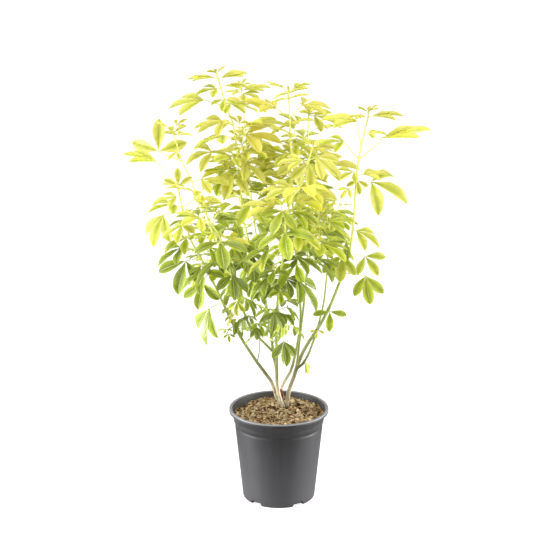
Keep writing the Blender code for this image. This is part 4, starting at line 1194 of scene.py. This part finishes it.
def grow_twigs(shoots_of, standing, grown):
    """Grow a short side shoot from the axil of each older leaf, where it finds room."""
    twigs = []
    for number, (node, leaf, *_) in enumerate(list(grown)):
        draw = random.Random(TWIG_SEED + number)
        foot = leaf["root"]
        chance = (TWIG_CHANCE * (1.0 - share_between(foot.z, *TWIG_HEIGHTS))
                  * (1.0 - share_between(foot.xy.length, 0.0, TWIG_REACH)))
        if leaf["pair"] < 1 or foot.z < TWIG_LOWEST or draw.random() > chance:
            continue
        curve, along, _ = shoots_of[node][leaf["shoot"]]
        heading = (point_on(curve, along, leaf["distance"] + AXIL_STEP)
                   - point_on(curve, along, leaf["distance"] - AXIL_STEP)).normalized()
        out = leaf_axes(leaf["turn"], 0.0, 0.0)[0]
        length = draw.uniform(*TWIG_LENGTHS)
        way = (heading * TWIG_ALONG + out * draw.uniform(*TWIG_OUT)).normalized()
        tip = foot + (way * TWIG_STRAIGHT + Vector((0, 0, TWIG_UP))) * length
        growth = shoot([foot, foot + way * (0.5 * length), tip], TWIG_RADII,
                       pairs=1 + sum(length > least for least in TWIG_PAIRS),
                       turn=draw.uniform(0.0, 180.0), age=draw.choice(TWIG_AGES),
                       leaf=draw.uniform(*TWIG_LEAVES))
        twig_curve, twig_along, solid = plain_shoot(growth, False)
        tree = BVHTree.FromPolygons(*solid)
        if any(tree.overlap(other[3]) for other in grown
               if (other[1]["root"] - foot).length < NEAR_ENOUGH_TO_TOUCH):
            continue
        if any(owner != node and tree.overlap(other) for owner, other in standing):
            continue
        first = len(grown)
        standing.append((node, tree))
        for twig_leaf in leaves_of(growth, twig_curve, twig_along, TWIG_SEED + number):
            candidate = dict(twig_leaf, shoot=-1)
            if inside_box(plain_leaf(candidate)[0]):
                grow_leaf(candidate, node, standing, grown)
        if len(grown) == first:
            standing.pop()
            continue
        twigs.append((node, growth))
    return twigs


# Leaves that hang low in the middle of the plant, in the shade, between those of the solids. They hang
# lower the nearer they are to the middle, and are smaller the lower they hang.
LOW_SEED = 9000
LOW_HEIGHTS = (0.345, 0.500)
LOW_STEP = 0.012
LOW_CENTRE = (-0.032, 0.0)
LOW_REACH = 0.105
LOW_NEAR = 0.040
LOW_RISE = 1.3
LOWEST_LEAF = 0.55
LOW_TURN_SWING = 30.0
LOW_RANGES = dict(spread=(40.0, 60.0), stalk=(0.008, 0.026), stalk_pitch=(-40.0, 25.0),
                  length=(0.034, 0.058), pitch=(-80.0, -25.0), roll=(-35.0, 35.0), fold=(0.30, 0.55),
                  droop=(0.05, 0.25))


def grow_low_leaves(shoots_of, standing, grown):
    """Grow pairs of hanging leaves along the lower parts of the shoots, where they find room."""
    lowest, highest = LOW_HEIGHTS
    for number, (node, shoots) in enumerate(shoots_of.items()):
        for i, (curve, along, _) in enumerate(shoots):
            draw = random.Random(LOW_SEED + SEEDS_A_STEM * number + i)
            height = max(lowest, curve[0].z)
            while height < min(highest, curve[-1].z) and STEMS[node][i]["pairs"] > 1:
                distance = distance_at(curve, along, height)
                root = point_on(curve, along, distance)
                turn = draw.uniform(0.0, 360.0)
                size = LOWEST_LEAF + (1.0 - LOWEST_LEAF) * ((root.z - lowest) / (highest - lowest))
                height += LOW_STEP
                away = (root.xy - Vector(LOW_CENTRE)).length
                if (draw.random() > 1.0 - (away / LOW_REACH) ** 2
                        or root.z < lowest + LOW_RISE * (away - LOW_NEAR)):
                    continue
                for side in (0.0, 180.0):
                    heading = turn + side + draw.uniform(-LOW_TURN_SWING, LOW_TURN_SWING)
                    leaf = drawn(draw, LOW_RANGES)
                    leaf.update(root=root, turn=heading, stalk_turn=heading, length=leaf["length"] * size,
                                age=1.0, pair=0, shoot=i, distance=distance)
                    if inside_box(plain_leaf(leaf)[0]):
                        grow_leaf(leaf, node, standing, grown)


shoots_of, standing, grown = grow_stems()
grow_low_leaves(shoots_of, standing, grown)
twigs = grow_twigs(shoots_of, standing, grown)

# The leaf blades: thin and leathery, with a smooth golden upper face, a paler underside, a folded
# midrib that stands out below, faint side veins and a slightly waved rim. A leaflet is a closed blade.
LEAFLET_ROWS = 11
LEAFLET_COLUMNS = (-1.0, -0.72, -0.34, 0.0, 0.34, 0.72, 1.0)
LEAFLET_SIZES = (0.94, 1.04)
LEAFLET_TURN = 5.0
OUTLINE_RISE = 1.4
OUTLINE_FALL = 0.75
PETIOLULE = 0.0005
RIM_THICKNESS = 0.00022
MIDDLE_THICKNESS = 0.0004
KEEL = 0.0006
KEEL_EDGE = 0.1
DROOP_POWER = 2.7
FOLD_DEEPER = 1.30
FOLD_POWER = 1.15
RIM_CURL = 0.22
CURL_POWER = 4
SICKLE = 0.06
RIPPLE = 0.013
RIPPLE_SWINGS = (0.4, 1.4)
RIPPLES = 2.5
PEAK = OUTLINE_RISE / (OUTLINE_RISE + OUTLINE_FALL)
OUTLINE_SCALE = 1.0 / (PEAK ** OUTLINE_RISE * (1.0 - PEAK) ** OUTLINE_FALL)


def outline(station):
    """A leaflet's width at a station, as a share of its greatest: wedge-shaped below, blunt above."""
    return OUTLINE_SCALE * station ** OUTLINE_RISE * (1.0 - station) ** OUTLINE_FALL


def add_leaflet(gathered, leaf, hub, axes, spread, size, draw):
    """One leaflet from its hub: an upper and a lower face that share the rim."""
    ahead, left, up = axes
    spread = math.radians(spread)
    out = ahead * math.cos(spread) + left * math.sin(spread)
    aside = left * math.cos(spread) - ahead * math.sin(spread)
    length = leaf["length"] * size
    half_width = length * LEAFLET_SLIMNESS / 2
    sickle = draw.uniform(-SICKLE, SICKLE) * length
    phase = draw.uniform(0.0, math.tau)
    ripple = RIPPLE * length * draw.uniform(*RIPPLE_SWINGS)
    stations = [0.5 - 0.5 * math.cos(math.pi * i / LEAFLET_ROWS) for i in range(1, LEAFLET_ROWS)]
    upper, lower, along, across = [], [], [], []
    for station in stations:
        width = max(PETIOLULE, half_width * outline(station))
        middle = (hub + out * (station * length) + aside * (sickle * station * station)
                  - up * (leaf["droop"] * length * station ** DROOP_POWER))
        swell = math.sin(math.pi * station)
        for column in LEAFLET_COLUMNS:
            edge = abs(column)
            lift = FOLD_DEEPER * leaf["fold"] * width * (edge ** FOLD_POWER - RIM_CURL * edge ** CURL_POWER)
            wave = ripple * swell * edge * edge * math.sin(math.tau * RIPPLES * station + phase + column)
            point = middle + aside * (column * width) + up * (lift + wave)
            keel = KEEL * (1.0 - station) * (edge < KEEL_EDGE)
            upper.append(point)
            lower.append(point - up * (RIM_THICKNESS + MIDDLE_THICKNESS * (1.0 - edge) + keel))
            along.append(station)
            across.append(column)
    tip = hub + out * length + aside * sickle - up * (leaf["droop"] * length)
    wide = len(LEAFLET_COLUMNS)
    inner = [number for number in range(len(upper)) if 0 < number % wide < wide - 1]
    hub_number, tip_number = len(upper), len(upper) + 1
    below = {number: tip_number + 1 + i for i, number in enumerate(inner)}
    faces = [(a, a + wide, a + wide + 1, a + 1)
             for row in range(len(stations) - 1) for a in range(row * wide, row * wide + wide - 1)]
    foot = (len(stations) - 1) * wide
    faces += [(hub_number, k, k + 1) for k in range(wide - 1)]
    faces += [(tip_number, foot + k + 1, foot + k) for k in range(wide - 1)]
    underside = [tuple(below.get(number, number) for number in face)[::-1] for face in faces]
    gathered.add(upper + [hub, tip] + [lower[number] for number in inner], faces + underside, 1,
                 [0.0] * len(faces) + [1.0] * len(faces), gold=leaf["gold"], tint=leaf["tint"],
                 along=along + [0.0, 1.0] + [along[number] for number in inner],
                 across=across + [0.0, 0.0] + [across[number] for number in inner])


# How golden a leaf is: green when low or shut in, golden when high, outside or young, and a little
# paler again right at the bottom. Each leaf then swings to one side of that, the high ones less.
GREEN_BELOW = 0.46
GOLDEN_ABOVE = 0.65
PALER_HEIGHTS = (0.48, 0.39)
OUTER_REACHES = (0.05, 0.19)
SMALL_LEAF = 0.5
GOLD_LOW = 0.24
GOLD_HIGH = 0.70
GOLD_OUTER = 0.30
GOLD_SMALL = 0.90
GOLD_YOUNG = 0.08
GOLD_PALER = 0.15
GOLD_SWINGS = (-0.38, 0.34)
GOLD_STEADIER = 0.72


def leaf_colour(leaf, draw):
    """A leaf's gold, from 0 (deep green) to 1 (golden yellow), and its own tint."""
    root = leaf["root"]
    high = share_between(root.z, GREEN_BELOW, GOLDEN_ABOVE)
    outer = share_between(root.xy.length, *OUTER_REACHES)
    small = max(0.0, 1.0 - leaf["length"] / (SMALL_LEAF * LEAFLET))
    gold = (GOLD_LOW + GOLD_HIGH * high + GOLD_OUTER * outer * (1.0 - high) + GOLD_SMALL * small
            + GOLD_YOUNG * (1.0 - leaf["age"]))
    gold += (GOLD_PALER * share_between(root.z, *PALER_HEIGHTS)
             + draw.uniform(*GOLD_SWINGS) * (1.0 - GOLD_STEADIER * high))
    return min(1.0, max(0.0, gold)), draw.random()


# The leaf stalks: slender and round, green to golden, swollen at the stem and under the leaflets.
STALK_SIDES = 6
STALK_JOINTS = 7
STALK_RADII = (0.00125, 0.00075)
STALK_TAPER = 0.6
STALK_SAG = 0.05
# How much a stalk swells at its foot and at its leaflets, and over which shares of its length.
FOOT_SWELL = (0.45, 0.12)
HUB_SWELL = (0.25, 0.10)
# How thick the smallest leaf's stalk is, and how far the stalk's end goes on into the leaflets.
THINNEST_STALK = 0.45
STALK_END = 0.06
STALK_END_TAPER = 0.4
# A stalk's gold: what each has, and what a golden leaf adds.
STALK_GOLD = (0.55, 0.45)


def add_leaf(gathered, leaf, foot, draw):
    """One leaf: its stalk from the stem, and its three leaflets."""
    ahead, left, up = axes = leaf_axes(leaf["turn"], leaf["pitch"], leaf["roll"])
    rise = leaf_axes(leaf["stalk_turn"], leaf["stalk_pitch"], 0.0)[0]
    hub = leaf["root"] + rise * leaf["stalk"]
    gold, tint = leaf_colour(leaf, draw)
    leaf = dict(leaf, gold=gold, tint=tint)
    scale = min(1.0, THINNEST_STALK + leaf["length"] / LEAFLET * (1.0 - THINNEST_STALK))
    centres, radii = [], []
    for i in range(STALK_JOINTS):
        share = i / (STALK_JOINTS - 1)
        sag = up * (STALK_SAG * leaf["stalk"] * math.sin(math.pi * share))
        centres.append(foot.lerp(hub, share) - sag)
        swollen = (1.0 + FOOT_SWELL[0] * math.exp(-(share / FOOT_SWELL[1]) ** 2)
                   + HUB_SWELL[0] * math.exp(-((1.0 - share) / HUB_SWELL[1]) ** 2))
        radius = STALK_RADII[0] + (STALK_RADII[1] - STALK_RADII[0]) * share ** STALK_TAPER
        radii.append(radius * swollen * scale)
    centres.append(hub + ahead * (STALK_END * leaf["length"]))
    radii.append(STALK_END_TAPER * radii[-1])
    points, faces = tube(centres, radii, STALK_SIDES)
    gathered.add(points, faces, 0, gold=STALK_GOLD[0] + STALK_GOLD[1] * gold, tint=tint)
    for side, size in ((0, 1.0), (1, SIDE_LEAFLET), (-1, SIDE_LEAFLET)):
        turned_aside = side * leaf["spread"] + draw.uniform(-LEAFLET_TURN, LEAFLET_TURN)
        add_leaflet(gathered, leaf, hub, axes, turned_aside, size * draw.uniform(*LEAFLET_SIZES), draw)


# The stems: green and smooth when young, and pale beige-grey bark with small pores when old. They
# swell at each pair of leaves.
FINE_STEP = 0.005
FINE_SIDES = 12
TWIG_SIDES = 7
NODE_SWELL = 0.28
NODE_LENGTH = 0.0030
OLD_BELOW = 0.17
YOUNG_ABOVE = 0.62
BARK_RIDGES = 0.06
RIDGES_ACROSS = 900.0
RIDGES_UP = 60.0
# How far under the soil a stem's foot widens, and by how much.
COLLAR_DEPTH = 0.004
COLLAR = 1.15
STEM_TINT = 0.5


def add_shoot(gathered, growth, along_plain, leaves, rooted, sides):
    """A shoot's fine stem. It follows its route, swells where leaves grow, and ends in a bud's neck."""
    curve, along = curve_through(growth["route"], FINE_STEP)
    foot, tip = growth["radii"]
    scale = along_plain[-1] / along[-1]
    places = sorted({round(leaf["distance"], 5) for leaf in leaves})
    centres, radii = list(curve), []
    for distance in along:
        plain = distance * scale
        swell = sum(math.exp(-((plain - place) / NODE_LENGTH) ** 2) for place in places)
        radius = foot + (tip - foot) * (plain / along_plain[-1]) ** TAPER
        radii.append(radius * (1.0 + NODE_SWELL * min(1.0, swell)))
    if rooted:
        centres = [curve[0] - Vector((0, 0, depth)) for depth in (ROOTING_DEPTH, COLLAR_DEPTH)] + centres
        radii = [foot, foot * COLLAR] + radii
    points, faces = tube(centres, radii, sides)
    golds = []
    for number, point in enumerate(points):
        centre = centres[number // sides]
        ridge = noise.noise(point * Vector((RIDGES_ACROSS, RIDGES_ACROSS, RIDGES_UP)))
        points[number] = centre + (point - centre) * (1.0 + BARK_RIDGES * ridge)
        golds.append(share_between(point.z, OLD_BELOW, YOUNG_ABOVE))
    gathered.add(points, faces, 0, gold=golds, tint=STEM_TINT, along=0.0 if growth["pairs"] else 1.0)
    return curve, along, scale


# The end buds: a pair of tiny folded leaves at each tip, still upright.
BUD_LENGTH = 0.012
BUD_SIZES = (0.8, 1.1)
BUD_OPEN = 0.30
BUD_SHAPE = dict(fold=0.8, droop=-0.15, age=0.0)
BUD_SUNK = 0.0006


def add_bud(gathered, growth, draw):
    """The two tiny upright leaves that close a shoot's tip."""
    curve, _ = curve_through(growth["route"], FINE_STEP)
    heading = (curve[-1] - curve[-2]).normalized()
    room = min(cad_box[1].z - BOX_MARGIN - curve[-1].z, BUD_LENGTH)
    size = growth["leaf"] * draw.uniform(*BUD_SIZES) * room
    for side in (0.0, 180.0):
        turn = math.radians(growth["turn"] + 90.0 + side)
        out = Vector((math.cos(turn), math.sin(turn), 0.0))
        ahead = (heading + out * BUD_OPEN).normalized()
        left = ahead.cross(-out).normalized()
        leaf = dict(BUD_SHAPE, root=curve[-1], length=size)
        gold, tint = leaf_colour(leaf, draw)
        leaf.update(gold=gold, tint=tint)
        add_leaflet(gathered, leaf, curve[-1] - heading * BUD_SUNK, (ahead, left, ahead.cross(left)), 0.0,
                    1.0, draw)


# The leaves' colours, from the deep green of the shade to the gold of the crown, and their veins. The
# pale midrib and margin also carry a painted highlight.
GREEN_DEEP = (0.185, 0.250, 0.014)
GREEN_FRESH = (0.33, 0.415, 0.030)
YELLOW_GREEN = (0.56, 0.645, 0.062)
GOLDEN = (0.88, 0.835, 0.290)
# A pale margin, brightened further as a painted highlight along the rim.
MARGIN_PALE_AND_HIGHLIGHT = (0.96, 0.93, 0.60)
AMBER = (0.93, 0.78, 0.130)
UNDERSIDE_PALE = (0.63, 0.69, 0.23)
# A pale midrib, brightened further as a painted highlight.
RIB_PALE_AND_HIGHLIGHT = (0.84, 0.88, 0.46)
RIB_OCHRE = (0.72, 0.62, 0.110)
# How much greener a leaf's heart is, and how much of that is left in a golden leaf.
GREEN_HEART = 0.32
GOLDEN_HEART = 0.75
LEAF_BLOTCHES = (70.0, 4.0, 0.6)
LEAF_RELIEF = (0.60, 0.0009)
BLOTCHED = 0.30
TINTED = 0.16
VEINS = 9.0
VEIN_SLANT = 0.42
VEINED = 0.35
# How much the pale midrib and veins show, with their painted highlight.
RIBBED_AND_HIGHLIGHTED = 0.72
PALE_BELOW = 0.35
# The roughness above and below, and the light that comes through a green leaf and a golden one.
LEAF_ROUGHNESS = (0.22, 0.52)
LIGHT_THROUGH = (0.26, 0.56)
LIGHT_TINT = (1.0, 1.0, 0.55)


def leaf_finish():
    """Leathery golden leaves: veins, a pale midrib and margin with a painted highlight, a paler underside,
    amber tints, and light through them.
    """
    finish, tree, shader = new_finish("golden leaf")
    place = put(tree, "TexCoord").outputs["Object"]
    gold, tint, along, across, underside = (
        mark(tree, name) for name in ("gold", "tint", "along", "across", "underside"))
    edge = reckon(tree, "ABSOLUTE", across)
    blotches = grain(tree, place, *LEAF_BLOTCHES)
    tone = added(tree, added(tree, gold, swung(tree, blotches, BLOTCHED)), swung(tree, tint, TINTED))
    heart = ramp(tree, added(tree, edge, scaled(tree, blotches, 0.5)), (0.40, 1.0), (0.95, 0.0))
    greener = remapped(tree, gold, ends=(GREEN_HEART, GREEN_HEART * GOLDEN_HEART))
    tone = reckon(tree, "SUBTRACT", tone, scaled(tree, heart, greener))
    colour = ramp(tree, tone, (0.0, GREEN_DEEP), (0.30, GREEN_FRESH), (0.56, YELLOW_GREEN), (0.88, GOLDEN))
    amber = scaled(tree, ramp(tree, tint, (0.78, 0.0), (0.96, 1.0)),
                   ramp(tree, gold, (0.62, 0.0), (0.92, 0.34)))
    # pale margin with a painted highlight along the rim
    margin_and_highlight = scaled(tree, ramp(tree, edge, (0.84, 0.0), (0.97, 1.0)),
                    ramp(tree, gold, (0.10, 0.22), (0.75, 0.55)))
    slanted = reckon(tree, "SUBTRACT", along, scaled(tree, edge, VEIN_SLANT / 2))
    veins = ramp(tree, reckon(tree, "SINE", scaled(tree, slanted, math.tau * VEINS)), (0.86, 0.0), (1.0, 1.0))
    midrib = ramp(tree, edge, (0.03, 1.0), (0.10, 0.0))
    lines = reckon(tree, "MAXIMUM", midrib, scaled(tree, veins, VEINED))
    # pale midrib with a painted highlight, ochre in golden leaves
    ribs_and_highlight = mixed(tree, ramp(tree, gold, (0.55, 0.0), (0.85, 1.0)), RIB_PALE_AND_HIGHLIGHT, RIB_OCHRE)
    colour = coated(tree, colour, (amber, AMBER), (margin_and_highlight, MARGIN_PALE_AND_HIGHLIGHT), (scaled(tree, lines, RIBBED_AND_HIGHLIGHTED), ribs_and_highlight),
                    (scaled(tree, underside, PALE_BELOW), UNDERSIDE_PALE))
    quilted = reckon(tree, "SUBTRACT", scaled(tree, blotches, 0.5), lines)
    plug(tree, shader, {"Base Color": colour, "Roughness": remapped(tree, underside, ends=LEAF_ROUGHNESS),
                        "Normal": relief(tree, quilted, *LEAF_RELIEF)})
    through = put(tree, "BsdfTranslucent", {"Color": mixed(tree, 1.0, colour, LIGHT_TINT, "MULTIPLY")})
    blade = put(tree, "MixShader", {0: remapped(tree, gold, ends=LIGHT_THROUGH), 1: shader.outputs["BSDF"],
                                    2: through.outputs["BSDF"]})
    plug(tree, tree.nodes["Material Output"], {"Surface": blade.outputs["Shader"]})
    return finish


# The bark's colours, from old wood at the foot to the youngest shoots and the leaf stalks.
BARK_OLD = (0.47, 0.41, 0.28)
BARK_SHADED = (0.20, 0.15, 0.060)
BARK_OLIVE = (0.140, 0.130, 0.048)
BARK_GREEN = (0.235, 0.300, 0.060)
BARK_YOUNG = (0.74, 0.76, 0.20)
BARK_PORES = (0.70, 0.68, 0.52)
BARK_STUB = (0.30, 0.085, 0.030)
BARK_STREAKS = (520.0, 5.0, 0.6)
BARK_SQUEEZE = 0.10
BARK_RELIEF = (0.5, 0.0004)
BARK_SWING = 0.16
PORES = 520.0
PORED = 0.35


def bark_finish():
    """Stems and leaf stalks: pale old bark with darker streaks and pores, then olive, then golden green."""
    finish, tree, shader = new_finish("stem bark")
    place = put(tree, "TexCoord").outputs["Object"]
    streaks = grain(tree, drawn_out(tree, place, BARK_SQUEEZE), *BARK_STREAKS)
    tone = added(tree, mark(tree, "gold"), swung(tree, streaks, BARK_SWING))
    old = mixed(tree, ramp(tree, streaks, (0.40, 1.0), (0.50, 0.0)), BARK_OLD, BARK_SHADED)
    young = ramp(tree, tone, (0.10, BARK_OLIVE), (0.46, BARK_GREEN), (0.86, BARK_YOUNG))
    colour = mixed(tree, ramp(tree, tone, (0.08, 0.0), (0.16, 1.0)), old, young)
    stub = scaled(tree, mark(tree, "along"), ramp(tree, streaks, (0.35, 1.0), (0.70, 0.55)))
    cells = put(tree, "TexVoronoi", {"Vector": place, "Scale": PORES}).outputs["Distance"]
    pores = ramp(tree, cells, (0.10, 1.0), (0.22, 0.0))
    colour = coated(tree, colour, (stub, BARK_STUB), (scaled(tree, pores, PORED), BARK_PORES))
    plug(tree, shader, {"Base Color": colour, "Roughness": 0.55,
                        "Normal": relief(tree, added(tree, streaks, pores), *BARK_RELIEF)})
    return finish


# Each leafy stem, with its side shoots and leaves, is put together as one piece in its solid's place.
LEAF_SEED = 500
LEAF_CREASE = 55.0
bark = bark_finish()
golden_leaf = leaf_finish()
for number, (node, shoots) in enumerate(STEMS.items()):
    draw = random.Random(LEAF_SEED + number)
    gathered = Gathered("gold", "tint", "along", "across")
    fine_curves = []
    for i, growth in enumerate(shoots):
        own = [leaf for owner, leaf, *_ in grown if owner == node and leaf["shoot"] == i]
        fine_curves.append(add_shoot(gathered, growth, shoots_of[node][i][1], own, i == 0, FINE_SIDES))
        if growth["pairs"]:
            add_bud(gathered, growth, draw)
    for owner, growth in twigs:
        if owner == node:
            add_shoot(gathered, growth, curve_through(growth["route"], ROUTE_STEP)[1], [], False, TWIG_SIDES)
            add_bud(gathered, growth, draw)
    for owner, leaf, *_ in grown:
        if owner != node:
            continue
        foot = leaf["root"]
        if leaf["shoot"] >= 0:
            curve, along, scale = fine_curves[leaf["shoot"]]
            foot = point_on(curve, along, leaf["distance"] / scale)
        add_leaf(gathered, leaf, foot, draw)
    stem = add_object(node.replace("stem", "leafy_stem"), gathered.mesh(node), bark, golden_leaf)
    smooth_edges(stem, LEAF_CREASE)
    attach(stem, "root")
    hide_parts(node)
